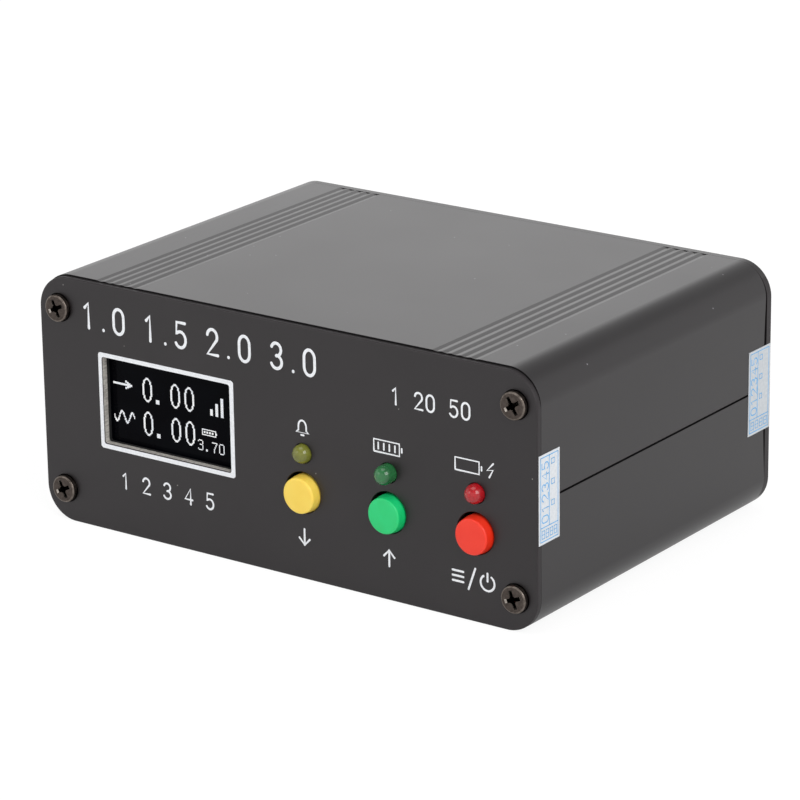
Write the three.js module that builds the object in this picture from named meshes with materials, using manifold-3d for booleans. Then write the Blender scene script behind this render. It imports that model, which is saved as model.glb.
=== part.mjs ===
// A standing-wave-ratio meter for radio sets: a split aluminium case with two plates, a display
// window, three push buttons, three lamps and two coaxial sockets behind.
// Millimetres. X runs along the front, Y from front to back, Z up. The origin is the centre of
// the case's underside.

import * as THREE from 'three';
import { mergeVertices } from 'three/addons/utils/BufferGeometryUtils.js';
import Module from 'manifold-3d';

const wasm = await Module();
wasm.setup();

// Case
const caseWidth = 92;
const caseHeight = 40;
const shellLength = 62.1;
const cornerRadius = 5.4;
const wallThickness = 1.6;
const partingRise = 0.3;
const partingGap = 0.3;
const tongueHeight = 1.4;
const tongueThickness = 0.65;
const tongueSideGap = 0.15;

// Grooves in the two broad faces, in a group near each long edge
const grooveCount = 5;
const groovePitch = 1.67;
const grooveWidth = 1.25;
const grooveDepth = 0.24;
const grooveShoulder = 0.78;
const grooveGroupInset = 14.7;

// Plates at the two ends
const plateThickness = 1.3;
const plateInset = 0.05;
const plateEdgeChamfer = 0.12;

// Screws and the channels in the shells that they bite into
const screwInsetX = 3.75;
const screwInsetZ = 5.28;
const screwHeadRadius = 2.05;
const screwHeadProud = 0.85;
const screwHeadRim = 0.15;
const screwHeadSide = 0.65;
const screwShankRadius = 1.2;
const screwLength = 8;
const screwTipLength = 1;
const screwClearance = 0.3;
const countersinkRadius = 2.3;
const channelWall = 1.1;
const channelSlot = 1.5;
const recessSpan = 2.5;
const recessWidth = 0.55;
const recessDepth = 1.1;
const recessFloorSpan = 1;

// Turns of the cross recesses, as the screws were left
const frontScrewTurns = [-0.44, -0.44, -0.35, -0.56];
const rearScrewTurns = [0.6, 0.9, 0.2, 1.1];

// Window in the front plate
const windowWidth = 24.7;
const windowHeight = 14.03;
const windowInsetX = 11.87;
const windowRise = 1.18;
const windowCornerRadius = 0.4;

// Display module behind the window
const displayGap = 0.3;
const displayShiftX = -1.15;
const displayShiftZ = -0.35;
const glassWidth = 26.7;
const glassHeight = 19.26;
const glassThickness = 1.45;
const glassDrop = 1.6;
const displayBoardWidth = 27.3;
const displayBoardHeight = 27.3;
const displayBoardThickness = 1.2;
const displayHoleRadius = 1;
const displayHoleInset = 2.2;
const displayHeaderHeight = 2.55;
const displayHeaderLength = 10.2;
const displayHeaderWidth = 2.5;

// Circuit boards
const boardThickness = 1.6;
const frontBoardMarginX = 0.4;
const frontBoardMarginZ = 1.9;
const mainBoardHeight = 10.4;
const mainBoardSideGap = 0.4;
const mainBoardFrontGap = 0.3;
const mainBoardRearGap = 0.8;
const railWidth = 1.5;
const railThickness = 1.2;
const railClearance = 0.3;
const boardHeaderLength = 25.4;
const boardHeaderSize = 2.5;

// Buttons: the last from the right edge of the case, the first from the window
const buttonInset = 10.68;
const buttonWindowGap = 13.6;
const buttonHeight = 13.65;
const buttonHoleClearance = 0.35;
const buttonTravel = 0.25;
const capRadius = 2.95;
const capProud = 1.5;
const capLength = 3.4;
const capEdgeRadius = 0.45;
const capWall = 0.9;
const capCrown = 1;
const plungerClearance = 0.3;
const switchWidth = 6;
const switchDepth = 3.5;
const switchRimWidth = 0.35;
const switchRimDepth = 0.4;
const switchMouthClearance = 0.25;
const plungerFoot = 0.8;

// Indicator lamps above the buttons
const lampButtonGap = 1.3;
const lampRadius = 1.5;
const lampLength = 5.3;
const lampFlangeRadius = 1.9;
const lampFlangeDepth = 1;
const lampHoleClearance = 0.2;
const lampLegWidth = 0.5;
const lampLegSpacing = 2.54;
const alertLampProud = 1.65;
const fullLampProud = 2.5;
const chargeLampProud = 1.82;

// Coaxial sockets in the rear plate
const socketSpacing = 48;
const socketHeight = 21;
const socketThreadRadius = 7.94;
const socketThreadLength = 11;
const socketChamfer = 0.5;
const socketFlangeRadius = 9.6;
const socketFlangeThickness = 2;
const socketBoreRadius = 6.2;
const socketFloorDrop = 0.8;
const socketBossRadius = 5.8;
const socketBossDepth = 6.5;
const socketSeatRadius = 3.9;
const socketHoleClearance = 0.3;
const socketNotchWidth = 1.7;
const socketNotchDepth = 1.2;
const nutAcrossFlats = 16;
const nutThickness = 2.5;
const insulatorClearance = 0.3;
const insulatorHeight = 2.2;
const insulatorTail = 1;
const contactRadius = 2.55;
const contactBoreRadius = 1.95;
const contactLength = 7.6;
const contactBoreDepth = 6.6;
const contactSlotWidth = 0.4;
const contactSlotDepth = 4.5;
const contactShankRadius = 1.2;
const contactShankClearance = 0.3;
const contactTail = 1;

// Charge port between the sockets
const portWidth = 8.94;
const portHeight = 3.26;
const portLength = 7.3;
const portWall = 0.32;
const portBackWall = 1;
const portRecess = 0.5;
const portHoleClearance = 0.35;
const portTongueWidth = 6.6;
const portTongueHeight = 0.7;
const portTongueLength = 4.6;

// Coupler behind the sockets
const couplerBoardGap = 1;
const couplerBoardMargin = 10;
const lineRadius = 0.9;
const lineEndGap = 0.3;
const toroidRadius = 6.5;
const toroidBoreRadius = 3.5;
const toroidThickness = 5;
const toroidEdge = 0.6;
const toroidGap = 0.3;
const voltageToroidShift = 13.5;
const lineBendRadius = 4;

// Cell and its wiring under the main board
const cellLength = 50;
const cellWidth = 34;
const cellThickness = 6;
const cellEdgeRadius = 2.4;
const guardLength = 3;
const guardWidth = 28;
const guardThickness = 3.6;
const leadRadius = 0.65;
const leadSpacing = 2;
const leadEndGap = 0.5;
const leadSlack = 1.4;
const cellSocketWidth = 6;
const cellSocketDepth = 7.5;
const cellSocketHeight = 5;
const cellSocketDistance = 4;

// Parts on the main board
const controllerWidth = 7;
const controllerHeight = 1.4;
const controllerShiftX = -22;
const controllerShiftY = -6;
const chargerWidth = 4;
const chargerLength = 5;
const chargerHeight = 1.5;
const chargerShiftX = 6;
const chargerShiftY = 10;
const inductorWidth = 6;
const inductorHeight = 3;
const inductorCornerShare = 0.2;
const inductorShiftX = 17;
const inductorShiftY = 4;

// Paper seals over the seams on the right side
const sealThickness = 0.1;
const frontSealWidth = 5.3;
const rearSealWidth = 6.3;
const sealHeight = 13.6;
const frontSealBottom = 13.92;
const rearSealBottom = 13.68;
const sealEdgeGap = 0.26;

// How finely round shapes are cut: steps in each quarter of a section's corner, and sides of a
// hole, a small round and a wire, rings of a dome, and lengths of the line and of a lead
const cornerSteps = 10;
const holeSides = 24;
const smallSides = 20;
const wireSides = 8;
const domeSteps = 5;
const lineSteps = 32;
const leadSteps = 16;

// How far a cut runs past the piece, and the weld distance
const overrun = 1;
const weldDistance = 0.0001;

// Places that several pieces share
const caseDepth = shellLength + 2 * plateThickness;
const partingHeight = caseHeight / 2 + partingRise;
const innerHalfWidth = caseWidth / 2 - wallThickness;
const screwX = caseWidth / 2 - screwInsetX;
const channelBore = screwShankRadius + screwClearance;
const channelRadius = channelBore + channelWall;
const windowCentreX = -caseWidth / 2 + windowInsetX + windowWidth / 2;
const windowCentreZ = caseHeight / 2 + windowRise;
const displayCentreX = windowCentreX + displayShiftX;
const displayCentreZ = windowCentreZ + displayShiftZ;
const displayDepth = plateThickness + displayGap;
const displayBoardDepth = displayDepth + glassThickness;
const frontBoardDepth = displayBoardDepth + displayBoardThickness + displayHeaderHeight;
const frontBoardBack = frontBoardDepth + boardThickness;
const mainBoardFront = frontBoardBack + mainBoardFrontGap;
const mainBoardLength = caseDepth - plateThickness - mainBoardRearGap - mainBoardFront;
const mainBoardTop = mainBoardHeight + boardThickness;
const mainBoardCentreY = mainBoardFront + mainBoardLength / 2 - caseDepth / 2;
const firstButtonX = windowCentreX + windowWidth / 2 + buttonWindowGap;
const lastButtonX = caseWidth / 2 - buttonInset;
const buttonHoleRadius = capRadius + buttonHoleClearance;
const lampHeight = buttonHeight + buttonHoleRadius + lampButtonGap + lampFlangeRadius;
const plungerRadius = capRadius - capWall - plungerClearance;
const switchFront = frontBoardDepth - switchDepth;
const socketFloor = -socketFloorDrop;
const contactFace = socketFloor - insulatorHeight;
const insulatorEnd = socketBossDepth + insulatorTail;
const couplerBoardDepth = insulatorEnd + couplerBoardGap;
const couplerBoardFar = couplerBoardDepth + boardThickness;
const contactEnd = couplerBoardFar + contactTail;
const cellShiftX = -(guardLength + cellSocketDistance + cellSocketWidth) / 2;

const finishes = {
  anodised: finish(0x2b2a2b, 0.45, 0.7),
  blackSteel: finish(0x3a3430, 0.4, 0.8),
  glass: finish(0x050507, 0.08, 0),
  board: finish(0x0e4a2c, 0.5, 0),
  darkBoard: finish(0x15315e, 0.5, 0),
  blackPlastic: finish(0x151515, 0.55, 0),
  steel: finish(0xb4b4b0, 0.3, 1),
  nickel: finish(0xbdb9ae, 0.25, 1),
  brass: finish(0xc9a24b, 0.3, 1),
  copper: finish(0xb86b3c, 0.35, 1),
  ferrite: finish(0x3b3b3d, 0.7, 0),
  fluoropolymer: finish(0xe9e7e0, 0.5, 0),
  foil: finish(0xa8acb0, 0.35, 0.8),
  tape: finish(0xc9962b, 0.4, 0),
  redWire: finish(0xb01f1c, 0.5, 0),
  blackWire: finish(0x161616, 0.5, 0),
  yellowCap: finish(0xf5d45f, 0.4, 0),
  greenCap: finish(0x33cf74, 0.4, 0),
  redCap: finish(0xec4236, 0.4, 0),
  oliveLamp: finish(0x7c7f3a, 0.15, 0),
  greenLamp: finish(0x2e6b3e, 0.15, 0),
  redLamp: finish(0xb3202a, 0.15, 0),
  paper: finish(0xdfe9f0, 0.7, 0),
};

const buttons = [
  { name: 'down', cap: finishes.yellowCap, lamp: 'alert', proud: alertLampProud, lens: finishes.oliveLamp },
  { name: 'up', cap: finishes.greenCap, lamp: 'full', proud: fullLampProud, lens: finishes.greenLamp },
  { name: 'power', cap: finishes.redCap, lamp: 'charge', proud: chargeLampProud, lens: finishes.redLamp },
];

function finish(color, roughness, metalness) {
  return new THREE.MeshStandardMaterial({ color, roughness, metalness });
}

// Solids: welding, joining and cutting

function solidOf(geometry) {
  const bare = geometry.clone();
  bare.deleteAttribute('normal');
  bare.deleteAttribute('uv');
  const welded = mergeVertices(bare, weldDistance);
  const triangles = [];
  for (let i = 0; i < welded.index.count; i += 3) {
    const corners = [welded.index.getX(i), welded.index.getX(i + 1), welded.index.getX(i + 2)];
    if (new Set(corners).size === 3) {
      triangles.push(...corners);
    }
  }
  return new wasm.Manifold(new wasm.Mesh({
    numProp: 3,
    vertProperties: new Float32Array(welded.attributes.position.array),
    triVerts: new Uint32Array(triangles),
  }));
}

function geometryOf(solid) {
  const { vertProperties, triVerts } = solid.getMesh();
  const geometry = new THREE.BufferGeometry();
  geometry.setAttribute('position', new THREE.BufferAttribute(vertProperties, 3));
  geometry.setIndex(new THREE.BufferAttribute(triVerts, 1));
  geometry.computeVertexNormals();
  return geometry;
}

function cut(base, cutters) {
  return cutters.reduce((rest, cutter) => rest.subtract(solidOf(cutter)), solidOf(base));
}

function join(geometries) {
  const [first, ...others] = geometries.map(solidOf);
  return others.reduce((whole, other) => whole.add(other), first);
}

// Forms that run along the depth of the case, and forms turned about the depth axis

function alongDepth(shape, length, arcSteps = cornerSteps) {
  const geometry = new THREE.ExtrudeGeometry(shape, {
    depth: length,
    bevelEnabled: false,
    curveSegments: arcSteps / 2,
  });
  return geometry.rotateX(Math.PI / 2).translate(0, length, 0);
}

function turned(profile, sides = holeSides) {
  const points = profile.map(([radius, depth]) => new THREE.Vector2(radius, depth));
  return new THREE.LatheGeometry(points, sides);
}

function bar(width, depth, height) {
  return new THREE.BoxGeometry(width, depth, height);
}

function roundedRectangle(width, height, radius) {
  const x = width / 2 - radius;
  const y = height / 2 - radius;
  const shape = new THREE.Shape();
  shape.absarc(x, y, radius, 0, Math.PI / 2);
  shape.absarc(-x, y, radius, Math.PI / 2, Math.PI);
  shape.absarc(-x, -y, radius, Math.PI, Math.PI * 1.5);
  shape.absarc(x, -y, radius, Math.PI * 1.5, Math.PI * 2);
  return shape;
}

function circle(radius) {
  const shape = new THREE.Shape();
  shape.absarc(0, 0, radius, 0, Math.PI * 2);
  return shape;
}

function piece(name, geometry, material, x = 0, y = 0, z = 0) {
  const body = geometry.isBufferGeometry ? closed(geometry) : geometryOf(geometry);
  const mesh = new THREE.Mesh(body, material);
  mesh.name = name;
  mesh.position.set(x, y, z);
  return mesh;
}

function closed(geometry) {
  return geometryOf(solidOf(geometry));
}

// Shells: one half of the case's section, drawn with its crown up from the parting line

function grooveCentres() {
  const centres = [];
  for (const groupCentre of [caseWidth / 2 - grooveGroupInset, grooveGroupInset - caseWidth / 2]) {
    for (let i = 0; i < grooveCount; i += 1) {
      centres.push(groupCentre + ((grooveCount - 1) / 2 - i) * groovePitch);
    }
  }
  return centres;
}

function halfSection(crown, foot) {
  const outer = caseWidth / 2;
  const innerRadius = cornerRadius - wallThickness;
  const shape = new THREE.Shape();
  shape.moveTo(outer, foot);
  shape.absarc(outer - cornerRadius, crown - cornerRadius, cornerRadius, 0, Math.PI / 2);
  for (const middle of grooveCentres()) {
    shape.lineTo(middle + grooveWidth / 2, crown);
    shape.lineTo(middle + grooveWidth / 4, crown - grooveDepth * grooveShoulder);
    shape.lineTo(middle, crown - grooveDepth);
    shape.lineTo(middle - grooveWidth / 4, crown - grooveDepth * grooveShoulder);
    shape.lineTo(middle - grooveWidth / 2, crown);
  }
  shape.absarc(-outer + cornerRadius, crown - cornerRadius, cornerRadius, Math.PI / 2, Math.PI);
  shape.lineTo(-outer, foot);
  shape.lineTo(-innerHalfWidth, foot);
  shape.absarc(-outer + cornerRadius, crown - cornerRadius, innerRadius, Math.PI, Math.PI / 2, true);
  shape.absarc(outer - cornerRadius, crown - cornerRadius, innerRadius, Math.PI / 2, 0, true);
  shape.lineTo(innerHalfWidth, foot);
  return shape;
}

// Two ribs on each side wall hold a board between them: it lies on the one nearer the crown.
function rails(seat) {
  const reach = railWidth + wallThickness / 2;
  const seatRib = seat + railThickness / 2;
  const keeperRib = seat - boardThickness - railClearance - railThickness / 2;
  const ribs = [];
  for (const side of [1, -1]) {
    for (const height of [seatRib, keeperRib]) {
      const rib = bar(reach, shellLength, railThickness);
      ribs.push(rib.translate(side * (innerHalfWidth - railWidth + reach / 2), shellLength / 2, height));
    }
  }
  return ribs;
}

function channelWalls(level) {
  return [1, -1].map((side) => (
    alongDepth(circle(channelRadius), shellLength, smallSides).translate(side * screwX, 0, level)
  ));
}

function channelCuts(level) {
  const cuts = [];
  for (const side of [1, -1]) {
    const length = shellLength + 2 * overrun;
    const bore = alongDepth(circle(channelBore), length, smallSides);
    cuts.push(bore.translate(side * screwX, -overrun, level));
    const slot = bar(channelRadius + overrun, length, channelSlot);
    slot.translate(-(channelRadius + overrun) / 2, 0, 0).rotateY(-Math.PI / 4);
    if (side < 0) {
      slot.rotateZ(Math.PI);
    }
    cuts.push(slot.translate(side * screwX, shellLength / 2, level));
  }
  return cuts;
}

function shellHalf(crown, foot) {
  const channelLevel = crown - screwInsetZ;
  const section = alongDepth(halfSection(crown, foot), shellLength);
  const raw = join([section, ...rails(crown - mainBoardHeight), ...channelWalls(channelLevel)]);
  return channelCuts(channelLevel).reduce((rest, cutter) => rest.subtract(solidOf(cutter)), raw);
}

// The upper half's foot is rebated inside, and seats on the tongue of the lower half.
function upperShell() {
  const crown = caseHeight - partingHeight;
  const rebateWidth = tongueThickness + tongueSideGap;
  let shell = shellHalf(crown, partingGap);
  for (const side of [1, -1]) {
    const rebate = bar(rebateWidth + overrun, shellLength + 2 * overrun, tongueHeight * 2);
    const x = side * (innerHalfWidth + rebateWidth - (rebateWidth + overrun) / 2);
    shell = shell.subtract(solidOf(rebate.translate(x, shellLength / 2, 0)));
  }
  return shell;
}

// The lower half is the same section turned over, with a tongue on the inside of each wall.
function lowerShell() {
  const half = shellHalf(partingHeight, 0);
  const tongues = [1, -1].map((side) => {
    const tongue = bar(tongueThickness, shellLength, tongueHeight * 2);
    return solidOf(tongue.translate(side * (innerHalfWidth + tongueThickness / 2), shellLength / 2, 0));
  });
  return tongues.reduce((whole, tongue) => whole.add(tongue), half);
}

// Plates

function plateBlank() {
  const shape = roundedRectangle(
    caseWidth - 2 * plateInset,
    caseHeight - 2 * plateInset,
    cornerRadius - plateInset,
  );
  const geometry = new THREE.ExtrudeGeometry(shape, {
    depth: plateThickness - 2 * plateEdgeChamfer,
    bevelThickness: plateEdgeChamfer,
    bevelSize: plateEdgeChamfer,
    bevelOffset: -plateEdgeChamfer,
    bevelSegments: 1,
    curveSegments: cornerSteps / 2,
  });
  geometry.rotateX(Math.PI / 2);
  return geometry.translate(0, plateThickness - plateEdgeChamfer, caseHeight / 2);
}

function screwPlaces() {
  const places = [];
  for (const x of [-screwX, screwX]) {
    for (const z of [screwInsetZ, caseHeight - screwInsetZ]) {
      places.push([x, z]);
    }
  }
  return places;
}

function countersink() {
  return turned([
    [0, -overrun],
    [countersinkRadius, -overrun],
    [countersinkRadius, 0],
    [channelBore, countersinkRadius - channelBore],
    [channelBore, plateThickness + overrun],
    [0, plateThickness + overrun],
  ], smallSides);
}

function countersinks() {
  return screwPlaces().map(([x, z]) => countersink().translate(x, 0, z));
}

function hole(radius, x, z) {
  const length = plateThickness + 2 * overrun;
  return alongDepth(circle(radius), length, holeSides).translate(x, -overrun, z);
}

function slotHole(width, height, radius, x, z) {
  const length = plateThickness + 2 * overrun;
  return alongDepth(roundedRectangle(width, height, radius), length).translate(x, -overrun, z);
}

function buttonX(index) {
  return firstButtonX + (index * (lastButtonX - firstButtonX)) / (buttons.length - 1);
}

function frontPlate() {
  const holes = buttons.flatMap((button, i) => [
    hole(buttonHoleRadius, buttonX(i), buttonHeight),
    hole(lampRadius + lampHoleClearance, buttonX(i), lampHeight),
  ]);
  const opening = slotHole(windowWidth, windowHeight, windowCornerRadius, windowCentreX, windowCentreZ);
  return cut(plateBlank(), [...countersinks(), ...holes, opening]);
}

function rearPlate() {
  const holes = [1, -1].map((side) => (
    hole(socketBossRadius + socketHoleClearance, side * socketSpacing / 2, socketHeight)
  ));
  const width = portWidth + 2 * portHoleClearance;
  const height = portHeight + 2 * portHoleClearance;
  const portOpening = slotHole(width, height, height / 2, 0, mainBoardTop + portHeight / 2);
  return cut(plateBlank(), [...countersinks(), ...holes, portOpening]);
}

// A countersunk screw, its face proud of the plate, with a cross recess that narrows downwards
function screw() {
  const face = -screwHeadProud;
  const coneStart = face + screwHeadRim + screwHeadSide;
  const blank = turned([
    [0, face],
    [screwHeadRadius - screwHeadRim, face],
    [screwHeadRadius, face + screwHeadRim],
    [screwHeadRadius, coneStart],
    [screwShankRadius, coneStart + screwHeadRadius - screwShankRadius],
    [screwShankRadius, screwLength - screwTipLength],
    [0, screwLength],
  ], smallSides);
  const shape = new THREE.Shape();
  const top = face - overrun;
  shape.moveTo(-recessSpan / 2, top);
  shape.lineTo(recessSpan / 2, top);
  shape.lineTo(recessSpan / 2, face);
  shape.lineTo(recessFloorSpan / 2, face + recessDepth);
  shape.lineTo(-recessFloorSpan / 2, face + recessDepth);
  shape.lineTo(-recessSpan / 2, face);
  const arm = new THREE.ExtrudeGeometry(shape, { depth: recessWidth, bevelEnabled: false });
  arm.translate(0, 0, -recessWidth / 2);
  return cut(blank, [arm, arm.clone().rotateY(Math.PI / 2)]);
}

function screws(prefix, turns) {
  const geometry = geometryOf(screw());
  return screwPlaces().map(([x, z], i) => {
    const mesh = piece(`${prefix}_screw_${i + 1}`, geometry, finishes.blackSteel, x, 0, z);
    mesh.rotation.y = turns[i];
    return mesh;
  });
}

// Display module

function displayBoard() {
  const shape = roundedRectangle(displayBoardWidth, displayBoardHeight, displayHoleRadius);
  for (const x of [-1, 1]) {
    for (const y of [-1, 1]) {
      const path = new THREE.Path();
      const holeX = x * (displayBoardWidth / 2 - displayHoleInset);
      const holeY = y * (displayBoardHeight / 2 - displayHoleInset);
      path.absarc(holeX, holeY, displayHoleRadius, 0, Math.PI * 2, true);
      shape.holes.push(path);
    }
  }
  return alongDepth(shape, displayBoardThickness, wireSides);
}

function display() {
  const x = displayCentreX;
  const glass = bar(glassWidth, glassThickness, glassHeight);
  const glassZ = displayCentreZ - glassDrop;
  const header = bar(displayHeaderLength, displayHeaderHeight, displayHeaderWidth);
  const headerY = displayBoardDepth + displayBoardThickness + displayHeaderHeight / 2;
  const headerZ = displayCentreZ + displayBoardHeight / 2 - displayHeaderWidth;
  return [
    piece('display_glass', glass, finishes.glass, x, displayDepth + glassThickness / 2, glassZ),
    piece('display_board', displayBoard(), finishes.darkBoard, x, displayBoardDepth, displayCentreZ),
    piece('display_header', header, finishes.blackPlastic, x, headerY, headerZ),
  ];
}

// Front board, upright behind the display, between the screw channels
function frontBoard() {
  const width = 2 * (screwX - channelRadius - frontBoardMarginX);
  const height = caseHeight - 2 * (wallThickness + frontBoardMarginZ);
  const board = bar(width, boardThickness, height);
  const header = bar(boardHeaderLength, boardHeaderSize, boardHeaderSize);
  const headerZ = mainBoardTop + boardHeaderSize / 2;
  return [
    piece('front_board', board, finishes.board, 0, frontBoardDepth + boardThickness / 2, caseHeight / 2),
    piece('board_header', header, finishes.blackPlastic, 0, frontBoardBack + boardHeaderSize / 2, headerZ),
  ];
}

// Buttons: a cap pressed on the plunger of a tactile switch

function cap() {
  const inner = plungerRadius + plungerClearance;
  const back = capLength - capProud;
  const face = -capProud;
  const points = [[0, face]];
  for (let i = 0; i <= domeSteps; i += 1) {
    const angle = (i / domeSteps) * (Math.PI / 2);
    const radius = capRadius - capEdgeRadius + capEdgeRadius * Math.sin(angle);
    points.push([radius, face + capEdgeRadius * (1 - Math.cos(angle))]);
  }
  points.push([capRadius, back], [inner, back], [inner, face + capCrown], [0, face + capCrown]);
  return turned(points);
}

function plunger() {
  const top = -capProud + capCrown;
  return turned([
    [0, top],
    [plungerRadius, top],
    [plungerRadius, switchFront + plungerFoot],
    [0, switchFront + plungerFoot],
  ], smallSides);
}

function switchBody() {
  const body = bar(switchWidth, switchDepth - switchRimDepth, switchWidth);
  body.translate(0, frontBoardDepth - (switchDepth - switchRimDepth) / 2, 0);
  const coverWidth = switchWidth - 2 * switchRimWidth;
  const cover = bar(coverWidth, switchDepth, coverWidth);
  cover.translate(0, frontBoardDepth - switchDepth / 2, 0);
  const mouthRadius = plungerRadius + switchMouthClearance;
  const mouthDepth = plungerFoot + buttonTravel + plungerClearance;
  const mouth = alongDepth(circle(mouthRadius), mouthDepth + overrun, smallSides);
  return join([body, cover]).subtract(solidOf(mouth.translate(0, switchFront - overrun, 0)));
}

function button({ name, cap: capFinish }, index) {
  const x = buttonX(index);
  return [
    piece(`${name}_cap`, cap(), capFinish, x, 0, buttonHeight),
    piece(`${name}_plunger`, plunger(), finishes.blackPlastic, x, 0, buttonHeight),
    piece(`${name}_switch`, switchBody(), finishes.blackPlastic, x, 0, buttonHeight),
  ];
}

// A 3 mm lamp: a domed body with a flange and two straight legs to the front board
function lamp({ lamp: name, proud, lens }, index) {
  const domeStart = lampRadius - proud;
  const back = lampLength - proud;
  const points = [];
  for (let i = 0; i <= domeSteps; i += 1) {
    const angle = (i / domeSteps) * (Math.PI / 2);
    points.push([lampRadius * Math.sin(angle), domeStart - lampRadius * Math.cos(angle)]);
  }
  points.push([lampRadius, back - lampFlangeDepth], [lampFlangeRadius, back - lampFlangeDepth]);
  points.push([lampFlangeRadius, back], [0, back]);
  const legLength = frontBoardDepth - back + lampFlangeDepth / 2;
  const legs = [1, -1].map((side) => {
    const leg = bar(lampLegWidth, legLength, lampLegWidth);
    return leg.translate(side * lampLegSpacing / 2, frontBoardDepth - legLength / 2, 0);
  });
  const body = join([turned(points, smallSides), ...legs]);
  return piece(`${name}_lamp`, body, lens, buttonX(index), 0, lampHeight);
}

// Coaxial sockets: depth is counted inwards from the rear face, so outside is negative

function socketBody() {
  const rim = -(socketFlangeThickness + socketThreadLength);
  const profile = [
    [socketBoreRadius, rim],
    [socketThreadRadius - socketChamfer, rim],
    [socketThreadRadius, rim + socketChamfer],
    [socketThreadRadius, -socketFlangeThickness],
    [socketFlangeRadius - socketChamfer, -socketFlangeThickness],
    [socketFlangeRadius, -socketFlangeThickness + socketChamfer],
    [socketFlangeRadius, 0],
    [socketBossRadius, 0],
    [socketBossRadius, socketBossDepth],
    [socketSeatRadius, socketBossDepth],
    [socketSeatRadius, socketFloor],
    [socketBoreRadius, socketFloor],
    [socketBoreRadius, rim],
  ];
  const across = 2 * (socketThreadRadius + overrun);
  const notch = bar(across, 2 * socketNotchDepth, socketNotchWidth).translate(0, rim, 0);
  return cut(turned(profile), [notch, notch.clone().rotateY(Math.PI / 2)]);
}

function insulator() {
  const inner = contactShankRadius + contactShankClearance;
  const neck = socketSeatRadius - insulatorClearance;
  return turned([
    [inner, contactFace],
    [socketBoreRadius - insulatorClearance, contactFace],
    [socketBoreRadius - insulatorClearance, socketFloor],
    [neck, socketFloor],
    [neck, insulatorEnd],
    [inner, insulatorEnd],
    [inner, contactFace],
  ]);
}

function contact() {
  const tip = contactFace - contactLength;
  const bevel = (contactRadius - contactBoreRadius) / 2;
  const blank = turned([
    [0, tip + contactBoreDepth],
    [contactBoreRadius, tip + contactBoreDepth],
    [contactBoreRadius, tip],
    [contactRadius - bevel, tip],
    [contactRadius, tip + bevel],
    [contactRadius, contactFace],
    [contactShankRadius, contactFace],
    [contactShankRadius, contactEnd],
    [0, contactEnd],
  ], smallSides);
  const across = 2 * (contactRadius + overrun);
  const slot = bar(across, 2 * contactSlotDepth, contactSlotWidth).translate(0, tip, 0);
  return cut(blank, [slot, slot.clone().rotateY(Math.PI / 2)]);
}

function socketNut() {
  const shape = new THREE.Shape();
  const corner = nutAcrossFlats / Math.sqrt(3);
  const first = new THREE.Vector2(corner, 0);
  shape.moveTo(first.x, first.y);
  for (let i = 1; i < 6; i += 1) {
    const point = first.clone().rotateAround(new THREE.Vector2(), (i * Math.PI) / 3);
    shape.lineTo(point.x, point.y);
  }
  const opening = new THREE.Path();
  opening.absarc(0, 0, socketBossRadius + socketHoleClearance, 0, Math.PI * 2, true);
  shape.holes.push(opening);
  return alongDepth(shape, nutThickness, holeSides).translate(0, plateThickness, 0);
}

function socket(name, side) {
  const x = side * socketSpacing / 2;
  return [
    piece(`${name}_socket_body`, socketBody(), finishes.nickel, x, 0, socketHeight),
    piece(`${name}_socket_insulator`, insulator(), finishes.fluoropolymer, x, 0, socketHeight),
    piece(`${name}_socket_contact`, contact(), finishes.brass, x, 0, socketHeight),
    piece(`${name}_socket_nut`, socketNut(), finishes.nickel, x, 0, socketHeight),
  ];
}

// Charge port: a drawn steel sleeve with a closed back and a plastic tongue inside
function chargePort() {
  const z = mainBoardTop + portHeight / 2;
  const sleeve = alongDepth(roundedRectangle(portWidth, portHeight, portHeight / 2), portLength);
  const innerHeight = portHeight - 2 * portWall;
  const cavity = alongDepth(
    roundedRectangle(portWidth - 2 * portWall, innerHeight, innerHeight / 2),
    portLength - portBackWall + overrun,
  ).translate(0, -overrun, 0);
  const tongue = bar(portTongueWidth, portTongueLength, portTongueHeight);
  const tongueY = portRecess + portLength - portBackWall - portTongueLength / 2;
  return [
    piece('charge_port', cut(sleeve, [cavity]), finishes.steel, 0, portRecess, z),
    piece('charge_port_tongue', tongue, finishes.blackPlastic, 0, tongueY, z),
  ];
}

// Coupler: a board on the sockets' centre contacts, with the line and two wound toroids

function couplerBoard() {
  const width = socketSpacing + 2 * couplerBoardMargin;
  const height = socketHeight + couplerBoardMargin - mainBoardTop;
  const blank = bar(width, boardThickness, height);
  blank.translate(0, couplerBoardDepth + boardThickness / 2, mainBoardTop + height / 2);
  const holes = [1, -1].map((side) => {
    const opening = alongDepth(
      circle(contactShankRadius + contactShankClearance),
      boardThickness + 2 * overrun,
      smallSides,
    );
    return opening.translate(side * socketSpacing / 2, couplerBoardDepth - overrun, socketHeight);
  });
  return cut(blank, holes);
}

function toroid() {
  const half = toroidThickness / 2;
  return turned([
    [toroidBoreRadius, -half + toroidEdge],
    [toroidBoreRadius + toroidEdge, -half],
    [toroidRadius - toroidEdge, -half],
    [toroidRadius, -half + toroidEdge],
    [toroidRadius, half - toroidEdge],
    [toroidRadius - toroidEdge, half],
    [toroidBoreRadius + toroidEdge, half],
    [toroidBoreRadius, half - toroidEdge],
    [toroidBoreRadius, -half + toroidEdge],
  ], smallSides);
}

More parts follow.
